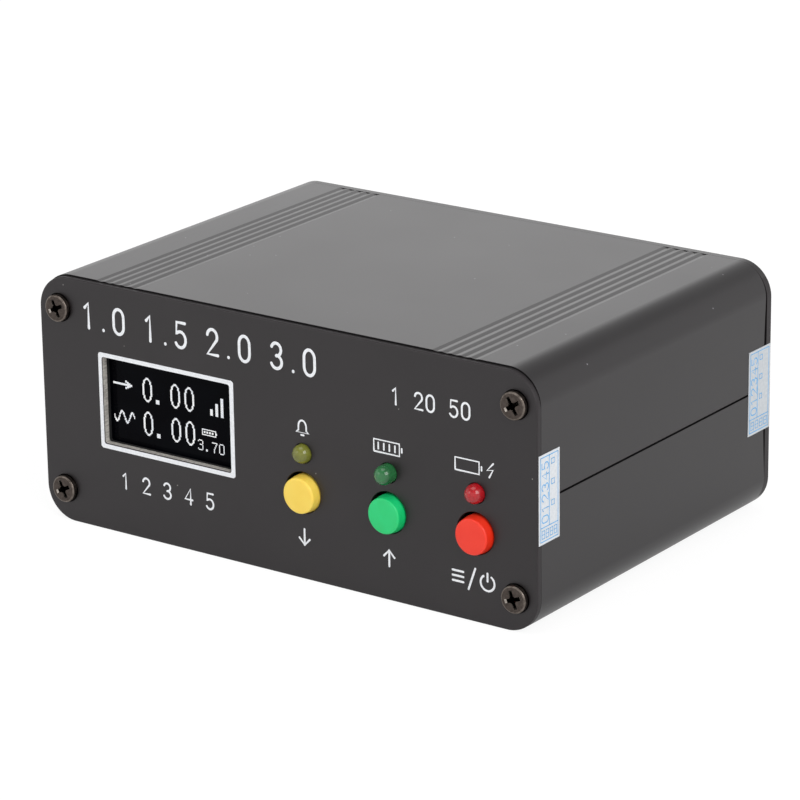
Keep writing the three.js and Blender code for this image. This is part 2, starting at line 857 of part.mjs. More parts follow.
function lineRun(level) {
  const end = contactEnd + lineEndGap;
  const reach = socketSpacing / 2;
  const at = (x, y) => new THREE.Vector3(x, y, 0);
  const run = new THREE.CurvePath();
  run.add(new THREE.LineCurve3(at(-reach, end), at(-reach, level - lineBendRadius)));
  run.add(new THREE.QuadraticBezierCurve3(
    at(-reach, level - lineBendRadius),
    at(-reach, level),
    at(-reach + lineBendRadius, level),
  ));
  run.add(new THREE.LineCurve3(at(-reach + lineBendRadius, level), at(reach - lineBendRadius, level)));
  run.add(new THREE.QuadraticBezierCurve3(
    at(reach - lineBendRadius, level),
    at(reach, level),
    at(reach, level - lineBendRadius),
  ));
  run.add(new THREE.LineCurve3(at(reach, level - lineBendRadius), at(reach, end)));
  return run;
}

function wire(path, radius, steps) {
  return new THREE.ExtrudeGeometry(circle(radius), {
    steps,
    extrudePath: path,
    bevelEnabled: false,
    curveSegments: wireSides / 2,
  });
}

function coupler() {
  const level = couplerBoardFar + toroidGap + toroidRadius;
  const flatLevel = couplerBoardFar + toroidThickness / 2;
  const line = wire(lineRun(level), lineRadius, lineSteps);
  const current = toroid().rotateZ(Math.PI / 2);
  return [
    piece('coupler_board', couplerBoard(), finishes.board),
    piece('line_conductor', line, finishes.copper, 0, 0, socketHeight),
    piece('current_toroid', current, finishes.ferrite, 0, level, socketHeight),
    piece('voltage_toroid', toroid(), finishes.ferrite, voltageToroidShift, flatLevel, socketHeight),
  ];
}

// Main board in the lower rails, and what is soldered to it

function mainBoard() {
  const width = 2 * (innerHalfWidth - mainBoardSideGap);
  const board = bar(width, mainBoardLength, boardThickness);
  const controller = bar(controllerWidth, controllerWidth, controllerHeight);
  const charger = bar(chargerWidth, chargerLength, chargerHeight);
  const inductor = alongDepth(
    roundedRectangle(inductorWidth, inductorWidth, inductorWidth * inductorCornerShare),
    inductorHeight,
  ).rotateX(Math.PI / 2);
  const top = mainBoardTop;
  const y = mainBoardCentreY;
  return [
    piece('main_board', board, finishes.board, 0, y, mainBoardHeight + boardThickness / 2),
    piece('microcontroller', controller, finishes.blackPlastic,
      controllerShiftX, y + controllerShiftY, top + controllerHeight / 2),
    piece('charger_chip', charger, finishes.blackPlastic,
      chargerShiftX, y + chargerShiftY, top + chargerHeight / 2),
    piece('power_inductor', inductor, finishes.ferrite,
      inductorShiftX, y + inductorShiftY, top),
  ];
}

// Cell on the floor of the lower shell, its guard board, and two leads to a socket

function cell() {
  const floor = wallThickness;
  const y = mainBoardCentreY;
  const body = alongDepth(roundedRectangle(cellLength, cellThickness, cellEdgeRadius), cellWidth);
  const guard = bar(guardLength, guardWidth, guardThickness);
  const guardX = cellShiftX + cellLength / 2 + guardLength / 2;
  const guardZ = floor + cellThickness / 2;
  const socketX = guardX + guardLength / 2 + cellSocketDistance + cellSocketWidth / 2;
  const holder = bar(cellSocketWidth, cellSocketDepth, cellSocketHeight);
  const colors = [['red', finishes.redWire, 1], ['black', finishes.blackWire, -1]];
  const leads = colors.map(([name, color, side]) => {
    const lateral = y + side * leadSpacing / 2;
    const path = new THREE.CatmullRomCurve3([
      new THREE.Vector3(guardX + guardLength / 2 + leadEndGap, lateral, guardZ),
      new THREE.Vector3(guardX + guardLength / 2 + cellSocketDistance / 2, lateral, guardZ - leadSlack / 2),
      new THREE.Vector3(socketX - cellSocketWidth / 2 - leadEndGap, lateral, guardZ + leadSlack),
    ]);
    return piece(`battery_lead_${name}`, wire(path, leadRadius, leadSteps), color);
  });
  return [
    piece('battery_cell', body, finishes.foil, cellShiftX, y - cellWidth / 2, guardZ),
    piece('cell_guard', guard, finishes.tape, guardX, y, guardZ),
    piece('battery_socket', holder, finishes.fluoropolymer,
      socketX, y, mainBoardHeight - cellSocketHeight / 2),
    ...leads,
  ];
}

// Paper seals on the right side, each over the seam between a plate and the shells
function seals() {
  const x = (caseWidth + sealThickness) / 2;
  const places = [['front', -1, frontSealWidth, frontSealBottom], ['rear', 1, rearSealWidth, rearSealBottom]];
  return places.map(([end, side, width, bottom]) => {
    const y = side * (caseDepth / 2 - sealEdgeGap - width / 2);
    const z = bottom + sealHeight / 2;
    return piece(`${end}_seal`, bar(sealThickness, width, sealHeight), finishes.paper, x, y, z);
  });
}

// Assembly. The front group counts depth back from the front face, the rear group forwards from
// the rear face.

const group = new THREE.Group();

const frontGroup = new THREE.Group();
frontGroup.position.y = -caseDepth / 2;
frontGroup.add(piece('front_panel', frontPlate(), finishes.anodised));
frontGroup.add(...screws('front', frontScrewTurns));
frontGroup.add(...display());
frontGroup.add(...frontBoard());
frontGroup.add(...buttons.flatMap(button));
frontGroup.add(...buttons.map(lamp));

const rearGroup = new THREE.Group();
rearGroup.position.y = caseDepth / 2;
rearGroup.rotation.z = Math.PI;
rearGroup.add(piece('rear_panel', rearPlate(), finishes.anodised));
rearGroup.add(...screws('rear', rearScrewTurns));
rearGroup.add(...socket('antenna', 1));
rearGroup.add(...socket('transmitter', -1));
rearGroup.add(...chargePort());
rearGroup.add(...coupler());

const upper = piece('upper_shell', upperShell(), finishes.anodised, 0, -shellLength / 2, partingHeight);
const lower = piece('lower_shell', lowerShell(), finishes.anodised, 0, shellLength / 2, partingHeight);
lower.rotation.x = Math.PI;

group.add(upper, lower, frontGroup, rearGroup, ...mainBoard(), ...cell(), ...seals());

export default group;
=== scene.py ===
import math

import bmesh
import bpy
from mathutils import Matrix, Vector


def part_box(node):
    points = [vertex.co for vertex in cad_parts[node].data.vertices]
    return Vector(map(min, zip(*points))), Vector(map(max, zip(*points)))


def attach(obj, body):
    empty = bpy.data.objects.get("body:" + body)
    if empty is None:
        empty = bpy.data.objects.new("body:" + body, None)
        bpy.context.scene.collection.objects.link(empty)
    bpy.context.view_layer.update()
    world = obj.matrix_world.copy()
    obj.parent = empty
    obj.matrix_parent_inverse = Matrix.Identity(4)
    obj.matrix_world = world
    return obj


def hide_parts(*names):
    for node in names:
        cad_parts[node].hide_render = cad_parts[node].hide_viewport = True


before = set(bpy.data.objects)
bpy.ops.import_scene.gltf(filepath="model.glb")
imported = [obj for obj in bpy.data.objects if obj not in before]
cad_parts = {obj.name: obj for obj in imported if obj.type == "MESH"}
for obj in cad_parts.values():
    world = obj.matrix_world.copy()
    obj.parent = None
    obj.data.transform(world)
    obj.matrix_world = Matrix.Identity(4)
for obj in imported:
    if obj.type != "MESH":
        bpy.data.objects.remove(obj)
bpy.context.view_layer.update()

# The meter's looks: a black anodised case and plates, white print, a lit display, coloured
# buttons and lamps, blackened screws, paper seals, and nickel sockets behind.
# Sizes are in millimetres and become metres through MM.

MM = 0.001
WELD = 0.002 * MM

# The case, as the frame holds it
CASE_WIDTH = 92
CASE_HEIGHT = 40
CASE_DEPTH = 64.7
CASE_CORNER = 5.4
CASE_WALL = 1.6
FRONT = -CASE_DEPTH / 2
REAR = CASE_DEPTH / 2
SIDE = CASE_WIDTH / 2
FRONT_PLATE = 0.95
REAR_PLATE = 1.3
FRONT_OUTLINE = ((-SIDE - 0.13, 0), (SIDE - 0.02, CASE_HEIGHT - 0.26))
REAR_OUTLINE = ((-SIDE, 0.01), (SIDE, CASE_HEIGHT))
SHELL_FRONT = FRONT + FRONT_PLATE
SHELL_BACK = REAR - REAR_PLATE
RIM = 0.03

# What runs along the shells' inside stops a trace short of their ends
SHORT = 0.05
RUN_FRONT = SHELL_FRONT + SHORT
RUN_BACK = SHELL_BACK - SHORT

# How far a cutter reaches past what it cuts
PAST = 1

# The shells' sawn back ends are a trace hollow, so a thin gap shows on each side: its depth, and
# the half height and the level of its middle
BACK_GAP = 0.76
BACK_GAP_HALF = 17
BACK_GAP_LEVEL = 22.5

# The joint between the halves, the grooves, the card rails and the screw channels
PARTING = 20.3
PARTING_GAP = 0.35
TONGUE = 0.65
TONGUE_GAP = 0.15
TONGUE_HEIGHT = 1.4
GROOVE_GROUP = 31.3
GROOVE_PITCH = 1.67
GROOVE_WIDTH = 1.5
GROOVE_DEPTH = 0.112
GROOVE_FLOOR = 0.03
GROOVE_LIFT = 0.01
RAIL_SEAT = 9.8
RAIL_KEEPER = 12.9
RAIL_WIDTH = 1.5
RAIL_HEIGHT = 1.2
SCREW_X = SIDE - 3.75
SCREW_INSET_Z = 5.28
CHANNEL_BORE = 1.5
CHANNEL_WALL = 1.1
CHANNEL_SLOT = 1.5

# The camera that took the photograph: place, view direction and the frame's right
CAMERA_PLACE = (341.931, -474.214, 215.682)
CAMERA_FORWARD = Vector((-0.55560248, 0.76755169, -0.31964087))
CAMERA_RIGHT = Vector((0.81251766, 0.58279462, -0.01286394))
CAMERA_LENS = 178.96
CAMERA_SENSOR = 36.0

# Window, with the printed border round it
WINDOW = ((-33.97, 14.33), (-9.43, 28.195))
BORDER = ((-34.81, 13.44), (-8.66, 28.9))
BORDER_HOLE = ((-34.15, 14.145), (-9.41, 28.215))
BORDER_CORNER = 0.5
WINDOW_CORNER = 0.4

# Button and lamp columns
COLUMNS = {"down": 4.17, "up": 19.745, "power": 35.32}
BUTTON_HEIGHT = 13.65
LAMP_HEIGHT = 19.98

# The plates' edges and holes. The caps stand a little off-centre in theirs.
FRONT_EASE = 0.24
REAR_EASE = 0.09
BACK_EASE = 0.02
HOLE_EASE = 0.08
WINDOW_FRAME = 1.0
CAP_HOLE = 3.24
CAP_DRIFT = (-0.12, 0.15)
LAMP_HOLE = 1.56
COUNTERSINK = 2.3
SOCKET_X = 24
SOCKET_HEIGHT = 21
SOCKET_HOLE = 6.1
PORT_WIDTH = 8.94
PORT_HEIGHT = 3.26
PORT_LEVEL = 13.63
PORT_GAP = 0.35

# Print, and how deep its border is sunk so that it holds to the plate
INK_RISE = 0.014
INK_SINK = 0.02

# Display dots
DOT_PITCH = 0.17
DOT_FILL = 0.9
DOT_RISE = 0.01
DOT_SINK = 0.01
SCREEN_COLUMNS = 128
SCREEN_ROWS = 64
SCREEN_CENTRE = (-22.62, 20.95)
GLASS_FACE = FRONT + 1.6


# Mesh tools. Angles in degrees past which an edge is rounded, past which it is shaded sharp, and
# the same for the shells, whose grooves are shallow

SHARP = 35
CREASE = 32
FINE_CREASE = 8


def linked(name, data):
    """A new object in the scene."""
    made = bpy.data.objects.new(name, data)
    bpy.context.scene.collection.objects.link(made)
    return made


def as_object(bm, name):
    """The mesh as an object in the scene."""
    mesh = bpy.data.meshes.new(name)
    bm.to_mesh(mesh)
    bm.free()
    return linked(name, mesh)


def as_built(made):
    """The mesh that an object's curves or modifiers make."""
    mesh = bpy.data.meshes.new_from_object(
        made.evaluated_get(bpy.context.evaluated_depsgraph_get()))
    bm = bmesh.new()
    bm.from_mesh(mesh)
    bpy.data.meshes.remove(mesh)
    return bm


def moved(bm, place, turn=0, axis="Z"):
    """The mesh turned about an axis through the origin, then set in its place."""
    bmesh.ops.rotate(bm, verts=bm.verts, matrix=Matrix.Rotation(turn, 3, axis))
    bmesh.ops.translate(bm, verts=bm.verts, vec=Vector(place) * MM)
    return bm


def at_depth(depth):
    """A test that picks the edges lying at a depth."""
    return lambda edge: all(abs(v.co.y - depth * MM) < WELD for v in edge.verts)


def soften(bm, width, chosen=None, segments=2):
    """Rounds the sharp edges, or those of them that a test picks."""
    limit = math.radians(SHARP)
    edges = [
        e for e in bm.edges
        if e.is_manifold and e.calc_face_angle(0) > limit and (chosen is None or chosen(e))
    ]
    bmesh.ops.bevel(bm, geom=edges, offset=width * MM, offset_type="OFFSET", segments=segments,
                    profile=0.5, affect="EDGES", clamp_overlap=False, material=-1)


def shade(bm, crease):
    """Smooth faces, with an edge kept where two faces meet at more than the angle."""
    limit = math.radians(crease)
    for face in bm.faces:
        face.smooth = True
    for edge in bm.edges:
        edge.smooth = edge.calc_face_angle(0) < limit


def finish_piece(bm, name, finishes, replaced=(), crease=CREASE, body="case"):
    """Makes the mesh a piece that rides on its body and stands for its CAD nodes."""
    if crease:
        shade(bm, crease)
    piece = as_object(bm, name)
    for material in finishes:
        piece.data.materials.append(material)
    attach(piece, body)
    if replaced:
        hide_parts(*replaced)
    even = piece.modifiers.new("even_shading", "WEIGHTED_NORMAL")
    even.keep_sharp = True
    even.weight = 100


def block(corner, opposite):
    """A box between two corners."""
    bm = bmesh.new()
    add_block(bm, corner, opposite)
    return bm


def add_block(bm, corner, opposite):
    """Adds a box between two corners, and gives its vertices."""
    low, high = [Vector(ends) * MM for ends in zip(*map(sorted, zip(corner, opposite)))]
    size = high - low
    matrix = Matrix.Translation((low + high) / 2) @ Matrix.Diagonal((*size, 1))
    return bmesh.ops.create_cube(bm, size=1, matrix=matrix)["verts"]


def rounded_block(low, high, radius, segments=8):
    """A box whose four edges along the depth axis are rounded."""
    bm = block(low, high)
    edges = [
        e for e in bm.edges if abs((e.verts[1].co - e.verts[0].co).normalized().y) > 0.9
    ]
    bmesh.ops.bevel(bm, geom=edges, offset=radius * MM, offset_type="OFFSET",
                    segments=segments, profile=0.5, affect="EDGES", material=-1)
    return bm


def panel_block(outline, start, end, radius, segments=8, grow=0):
    """A rounded box over an outline in the plate's plane, grown on each side if asked."""
    (left, bottom), (right, top) = outline
    return rounded_block((left - grow, start, bottom - grow), (right + grow, end, top + grow),
                         radius, segments)


def turned(profile, place=(0, 0, 0), steps=64):
    """A solid turned about the depth axis from (radius, depth) points."""
    bm = bmesh.new()
    points = [bm.verts.new((radius * MM, depth * MM, 0)) for radius, depth in profile]
    edges = [bm.edges.new(pair) for pair in zip(points, points[1:])]
    bmesh.ops.spin(bm, geom=points + edges, cent=(0, 0, 0), axis=(0, 1, 0),
                   angle=2 * math.pi, steps=steps, use_merge=True)
    bmesh.ops.remove_doubles(bm, verts=bm.verts, dist=WELD / 4)
    bmesh.ops.recalc_face_normals(bm, faces=bm.faces)
    return moved(bm, place)


def combined(bm, other, operation):
    """One closed mesh with another taken from it or joined to it."""
    first, second = as_object(bm, "first"), as_object(other, "second")
    boolean = first.modifiers.new("combine", "BOOLEAN")
    boolean.operation = operation
    boolean.solver = "MANIFOLD"
    boolean.object = second
    result = as_built(first)
    for part in (first, second):
        bpy.data.meshes.remove(part.data)
    return result


def cut_away(bm, *cutters):
    """The mesh less each cutter in turn."""
    for cutter in cutters:
        bm = combined(bm, cutter, "DIFFERENCE")
    return bm


def joined(bm, other):
    """Both meshes as one."""
    return combined(bm, other, "UNION")


def rod(radius, start, end):
    """A cylinder about the depth axis."""
    return turned([(0, start), (radius, start), (radius, end), (0, end)], steps=32)


def crowned(radius, edge, face, crown, steps, edge_steps):
    """Profile points of a slightly crowned face and the rounded edge round it."""
    rim = radius - edge
    points = [(rim * i / steps, face + crown * (i / steps) ** 2) for i in range(steps + 1)]
    for i in range(1, edge_steps + 1):
        angle = i / edge_steps * math.pi / 2
        points.append((rim + edge * math.sin(angle),
                       face + crown + edge * (1 - math.cos(angle))))
    return points


# Materials

def linear(hex_colour):
    """An sRGB hex colour as linear light."""
    parts = [int(hex_colour[i:i + 2], 16) / 255 for i in (1, 3, 5)]
    return (*[c / 12.92 if c <= 0.04045 else ((c + 0.055) / 1.055) ** 2.4 for c in parts], 1)


def add(tree, kind, inputs=None, **settings):
    """Adds a node with its settings, values and links."""
    made = tree.nodes.new(kind)
    for name, value in settings.items():
        setattr(made, name, value)
    for name, value in (inputs or {}).items():
        if isinstance(value, bpy.types.NodeSocket):
            tree.links.new(value, made.inputs[name])
        else:
            made.inputs[name].default_value = value
    return made


def grain_of(tree, place, size, detail=2, drawn=None):
    """A cloudy pattern with features of a size in millimetres, drawn out along an axis if
    asked."""
    if drawn:
        place = add(tree, "ShaderNodeMapping", {"Vector": place, "Scale": drawn}
                    ).outputs["Vector"]
    return add(tree, "ShaderNodeTexNoise", {
        "Vector": place, "Scale": 1 / (size * MM), "Detail": detail}).outputs["Fac"]


def lint_on(tree, place, radius, share):
    """1 on round specks of that radius in millimetres: that share of the cells holds one."""
    cells = add(tree, "ShaderNodeTexVoronoi", {"Vector": place, "Scale": 1 / (LINT_CELL * MM)})
    near = add(tree, "ShaderNodeMath", {0: cells.outputs["Distance"], 1: radius / LINT_CELL},
               operation="LESS_THAN").outputs["Value"]
    pick = add(tree, "ShaderNodeSeparateColor", {"Color": cells.outputs["Color"]})
    chosen = add(tree, "ShaderNodeMath", {0: pick.outputs["Red"], 1: share},
                 operation="LESS_THAN").outputs["Value"]
    return add(tree, "ShaderNodeMath", {0: near, 1: chosen}, operation="MULTIPLY"
               ).outputs["Value"]


def finish(name, dark, light, rough, grain, relief=None, strength=1.0, relief_grains=(),
           lint=None, tinted="Base Color", **even):
    """A surface that drifts with its grain from a dark tone to a light one and over a range of
    roughness. Its relief in millimetres follows that grain, or finer ones. Values that are
    even all over are given by their sockets' names."""
    material = bpy.data.materials.new(name)
    material.use_nodes = True
    tree = material.node_tree
    shader = tree.nodes["Principled BSDF"]
    for socket, value in even.items():
        shader.inputs[socket.replace("_", " ")].default_value = value
    place = add(tree, "ShaderNodeTexCoord").outputs["Object"]
    height = pattern = grain_of(tree, place, *grain)

    def drift(low, high):
        """The grain as a value between two limits."""
        return add(tree, "ShaderNodeMapRange", {
            "Value": pattern, "From Min": 0.35, "From Max": 0.65,
            "To Min": low, "To Max": high}).outputs["Result"]

    colour = add(tree, "ShaderNodeMix", {
        "Factor": drift(0, 1), "A": linear(dark), "B": linear(light)},
        data_type="RGBA").outputs["Result"]
    if lint:
        radius, share, lint_colour = lint
        colour = add(tree, "ShaderNodeMix", {
            "Factor": lint_on(tree, place, radius, share), "A": colour,
            "B": linear(lint_colour)}, data_type="RGBA").outputs["Result"]
    tree.links.new(colour, shader.inputs[tinted])
    if rough:
        tree.links.new(drift(*rough), shader.inputs["Roughness"])
    if relief:
        if relief_grains:
            height, *others = [grain_of(tree, place, *sizes) for sizes in relief_grains]
            for other in others:
                height = add(tree, "ShaderNodeMath", {0: height, 1: other}, operation="ADD"
                             ).outputs["Value"]
        bump = add(tree, "ShaderNodeBump", {
            "Height": height, "Distance": relief * MM, "Strength": strength})
        tree.links.new(bump.outputs["Normal"], shader.inputs["Normal"])
    return material


def screw_steel(name, dark, light, rough):
    """Steel blackened in oil: brown-black. Lighter copies of it paint a highlight on the rim and a
    glint, partly wear, at the cross's mouth; a darker one paints the shade inside the cross.
    """
    return finish(name, dark, light, (rough - 0.05, rough + 0.07), (0.45, 4), relief=0.012,
                  relief_grains=((0.12,),), Metallic=1.0)


def moulded_abs(name, shown, shaded):
    """Injection-moulded ABS: even colour, a soft sheen and the slightest orange peel."""
    return finish(name, shown, shaded, (0.34, 0.42), (3.0,), relief=0.004,
                  relief_grains=((0.25,),), Subsurface_Weight=0.08, Subsurface_Scale=0.6 * MM)


def cast_epoxy(name, deep, pale):
    """Tinted through: glassy outside, deep in colour, a little see-through."""
    return finish(name, deep, pale, (0.04, 0.07), (2.4,), Transmission_Weight=0.35, IOR=1.53)


def label_paper(name, dark, light):
    """Coated paper: pale blue-white with faint fibres."""
    return finish(name, dark, light, (0.5, 0.62), (0.4, 4), relief=0.006)


def plain(name, dark, light, size, rough, metallic=0.0, relief=0.004):
    """An even finish with one fine grain."""
    return finish(name, dark, light, (rough - 0.05, rough + 0.05), (size, 3), relief=relief,
                  Metallic=metallic)


LINT_CELL = 3.0

# The black dye film's reflection is a trace purple
DYED_SHINE = (1.0, 0.965, 0.985, 1.0)

# Extruded aluminium, etched and dyed black: an even satin with faint die lines
EXTRUSION = finish(
    "black_anodised_extrusion", "#191718", "#1c1a1b", (0.29, 0.31), (22,), relief=0.004,
    strength=0.5, relief_grains=((0.12, 3), (0.35, 2, (1, 0.01, 1))),
    lint=(0.13, 0.26, "#77757a"), Specular_Tint=DYED_SHINE, Specular_IOR_Level=0.46)
# Aluminium sheet, bead-blasted and dyed black: matt, with the finest pits and a little lint
SHEET = finish(
    "black_anodised_sheet", "#171415", "#1b1819", (0.38, 0.42), (14,), relief=0.006,
    strength=0.5, relief_grains=((0.1, 3),), lint=(0.1, 0.36, "#85837f"),
    Specular_Tint=DYED_SHINE)
# The sheet's cut edge, dyed with it: duller than its face
SHEARED = finish(
    "black_anodised_sheared_edge", "#1d1a1b", "#252123", (0.5, 0.6), (0.12, 2, (1, 0.3, 1)),
    relief=0.01, Specular_Tint=DYED_SHINE, Specular_IOR_Level=0.42)
# The extrusion's sawn ends, dyed with it and made deep black: painted shade that stands for the
# shadow in the joints with the plates
SAWN_END_PAINTED_SHADE = finish(
    "black_anodised_end_painted_shade", "#0c0b0b", "#151314", (0.55, 0.7), (0.15, 2, (0.2, 1, 1)),
    relief=0.01, Specular_IOR_Level=0.16)
# The window's walls, milled after dyeing: bare, and scoured along the depth by the cutter, so
# they scatter more than they mirror
MILLED = finish(
    "milled_aluminium", "#a39f99", "#d0ccc5", (0.5, 0.65), (0.22, 2, (1, 0.2, 1)), relief=0.02,
    Metallic=0.3)

# The screws' steel: brown-black, with a painted highlight on the rim, lighter at the cross's mouth
# where the driver wore it and as a painted glint, and painted shade within
SCREW_STEEL = screw_steel("oil_blackened_steel", "#443d39", "#564e49", 0.42)
RIM_PAINTED_HIGHLIGHT_STEEL = screw_steel("rim_painted_highlight_steel", "#5a524c", "#7d746d", 0.34)
WORN_AND_GLINT_STEEL = screw_steel("rubbed_blackened_steel_and_painted_glint", "#8d857e", "#bdb5ad", 0.3)
RECESS_PAINTED_SHADE_STEEL = screw_steel("recess_painted_shade_steel", "#131110", "#1d1a18", 0.35)

# Foamed rubber: black, with no shine
FRAME_FOAM = plain("black_frame_foam", "#070708", "#0d0d0e", 0.4, 0.8)
# Screen-printed epoxy ink: flat white, a trace uneven where the mesh let it through
INK = finish("white_screen_ink", "#e2e4e8", "#edeff2", (0.5, 0.6), (0.25,), relief=0.003)
# Polished glass over a black backing: deep black, with one crisp reflection
GLASS = finish("display_glass", "#020205", "#040509", (0.04, 0.09), (6,),
               Specular_IOR_Level=0.03)
# Display dots, lit: a cold white, a trace uneven from dot to dot
DOTS = finish("lit_display_dots", "#eef2f8", "#ffffff", None, (2.0,), tinted="Emission Color",
              Emission_Strength=0.95, Base_Color=linear("#202226"))
# Label paper, the second greyer where it was handled, and its pale blue print
CLEAN_PAPER = label_paper("coated_label_paper", "#c9cdd2", "#d4d7db")
HANDLED_PAPER = label_paper("handled_label_paper", "#b7bcc1", "#c2c6ca")
BLUE_INK = finish("blue_label_ink", "#3a96d2", "#56a8dc", (0.55, 0.65), (0.6,))
CAPS = {
    "down": moulded_abs("yellow_abs", "#f4d052", "#f6d55c"),
    "up": moulded_abs("green_abs", "#10c56d", "#14cb76"),
    "power": moulded_abs("red_abs", "#e92d14", "#ec331a"),
}
RESINS = {
    "alert": cast_epoxy("olive_epoxy", "#777a2e", "#8a8d38"),
    "full": cast_epoxy("green_epoxy", "#286e3e", "#35844c"),
    "charge": cast_epoxy("red_epoxy", "#b6121c", "#cc1e28"),
}

# Plated and drawn metals: bright, with almost no grain
NICKEL = plain("nickel_plated_brass", "#aaa69d", "#b8b4ab", 6.0, 0.19, 1.0, 0.001)
GOLD = plain("gold_flashed_brass", "#cda650", "#d9b65f", 4.0, 0.26, 1.0, 0.001)
PORT_STEEL = plain("drawn_steel", "#b0b0ac", "#bebeba", 3.0, 0.3, 1.0, 0.001)
COPPER = plain("enamelled_copper", "#a85d34", "#c27548", 0.4, 0.35, 1.0, 0.002)
TINNED = plain("tinned_leads", "#b3b3b0", "#cfcfcc", 0.2, 0.3, 1.0, 0.002)
# Foil over a soft cell: grey, puckered
FOIL = plain("cell_pouch_foil", "#9a9ea3", "#b2b6ba", 2.5, 0.35, 0.9, 0.03)
# Plastics: milky and waxy, black and matt, or amber and clear-coated
FLUOROPOLYMER = plain("turned_fluoropolymer", "#e4e1d8", "#efede6", 0.5, 0.5)
BLACK_PLASTIC = plain("black_nylon", "#141414", "#1c1c1c", 0.4, 0.5)
TAPE = plain("polyimide_tape", "#b9831d", "#cd9a30", 1.5, 0.35)
RED_WIRE = plain("red_wire_cover", "#a81b19", "#bd2623", 0.6, 0.45)
BLACK_WIRE = plain("black_wire_cover", "#121212", "#1a1a1a", 0.6, 0.45)
# Lacquered glass laminate: glossy, clouded by the weave beneath
LAMINATE = plain("green_solder_mask", "#0c4428", "#115232", 1.2, 0.4)
BLUE_LAMINATE = plain("blue_solder_mask", "#143060", "#193b73", 1.2, 0.4)
# Pressed ferrite under wire: dark grey, dry
FERRITE = plain("wound_ferrite", "#333235", "#4a474a", 0.5, 0.7)


# Case halves, plates and the frame behind the window

def groove_cutter(level):
    """Ten bars whose flanks slope in to a groove's bottom."""
    bm = bmesh.new()
    out = 1 if level else -1
    for group in (-GROOVE_GROUP, GROOVE_GROUP):
        for i in range(5):
            x = group + (i - 2) * GROOVE_PITCH
            half = GROOVE_WIDTH / 2
            made = add_block(bm, (x - half, SHELL_FRONT - PAST, level - out * GROOVE_DEPTH),
                             (x + half, SHELL_BACK + PAST, level + out * GROOVE_LIFT))
            floor = [v for v in made if (v.co.z - level * MM) * out < 0]
            crown = [v for v in made if v not in floor]
            flare = 1 + (1 - GROOVE_FLOOR) * GROOVE_LIFT / GROOVE_DEPTH
            for verts, share in ((floor, GROOVE_FLOOR), (crown, flare)):
                bmesh.ops.scale(bm, vec=(share, 1, 1), verts=verts,
                                space=Matrix.Translation((-x * MM, 0, 0)))
    return bm


def case_tube():
    """The whole extrusion before it is parted: a rounded tube with its ends' rims eased."""
    bm = rounded_block((-SIDE, SHELL_FRONT, 0), (SIDE, SHELL_BACK, CASE_HEIGHT), CASE_CORNER,
                       segments=20)
    soften(bm, RIM, chosen=lambda e: abs(e.verts[0].co.y - e.verts[1].co.y) < WELD)
    bore = rounded_block((CASE_WALL - SIDE, SHELL_FRONT - PAST, CASE_WALL),
                         (SIDE - CASE_WALL, SHELL_BACK + PAST, CASE_HEIGHT - CASE_WALL),
                         CASE_CORNER - CASE_WALL, segments=10)
    return cut_away(bm, bore)


def back_hollow():
    """A wide drum, lying across, that shaves the back ends hollow."""
    reach = (BACK_GAP_HALF ** 2 + BACK_GAP ** 2) / (2 * BACK_GAP)
    half = SIDE + PAST
    drum = turned([(0, -half), (reach, -half), (reach, half), (0, half)], steps=720)
    return moved(drum, (0, SHELL_BACK - BACK_GAP + reach, BACK_GAP_LEVEL), math.pi / 2)


def screw_channel(x, z, toward):
    """A tube for the screws' threads, slotted along the side that faces the inside."""
    radius = CHANNEL_BORE + CHANNEL_WALL
    tube = cut_away(rod(radius, RUN_FRONT, RUN_BACK),
                    rod(CHANNEL_BORE, SHELL_FRONT - PAST, SHELL_BACK + PAST),
                    block((0, SHELL_FRONT - PAST, -CHANNEL_SLOT / 2),
                          (radius + PAST, SHELL_BACK + PAST, CHANNEL_SLOT / 2)))
    return moved(tube, (x, 0, z), toward, "Y")


def make_case_half(name, node, upper):
    """One half: parted, with card rails, screw channels, grooves and its side of the joint."""
    out = 1 if upper else -1
    crown = CASE_HEIGHT if upper else 0
    inner = SIDE - CASE_WALL
    bm = case_tube()
    low, high = (-PAST, PARTING + PARTING_GAP) if upper else (PARTING, CASE_HEIGHT + PAST)
    bm = cut_away(bm, block((-SIDE - PAST, SHELL_FRONT - PAST, low),
                            (SIDE + PAST, SHELL_BACK + PAST, high)))
    for side in (-1, 1):
        for level in (RAIL_SEAT, RAIL_KEEPER):
            z = crown - out * level
            bm = joined(bm, block(
                (side * (inner - RAIL_WIDTH), RUN_FRONT, z - RAIL_HEIGHT / 2),
                (side * (inner + CASE_WALL / 2), RUN_BACK, z + RAIL_HEIGHT / 2)))
        bm = joined(bm, screw_channel(side * SCREW_X, crown - out * SCREW_INSET_Z,
                                      math.atan2(out, -side)))
        if upper:
            bm = cut_away(bm, block(
                (side * (inner - PAST), SHELL_FRONT - PAST, PARTING - PAST),
                (side * (inner + TONGUE + TONGUE_GAP), SHELL_BACK + PAST, PARTING + TONGUE_HEIGHT)))
        else:
            bm = joined(bm, block((side * inner, RUN_FRONT, PARTING - TONGUE_HEIGHT),
                                  (side * (inner + TONGUE), RUN_BACK, PARTING + TONGUE_HEIGHT)))
    bm = cut_away(bm, groove_cutter(crown), back_hollow())
    # The end faces take the painted shade of the joints with the plates
    for face in bm.faces:
        face.material_index = 1 if abs(face.normal.y) > 0.9 else 0
    finish_piece(bm, name, [EXTRUSION, SAWN_END_PAINTED_SHADE], [node], FINE_CREASE)


def in_window(face):
    """True on the window's four walls."""
    centre = face.calc_center_median() / MM
    (left, bottom), (right, top) = WINDOW
    inside = left - 0.1 < centre.x < right + 0.1 and bottom - 0.1 < centre.z < top + 0.1
    return inside and abs(face.normal.y) < 0.2


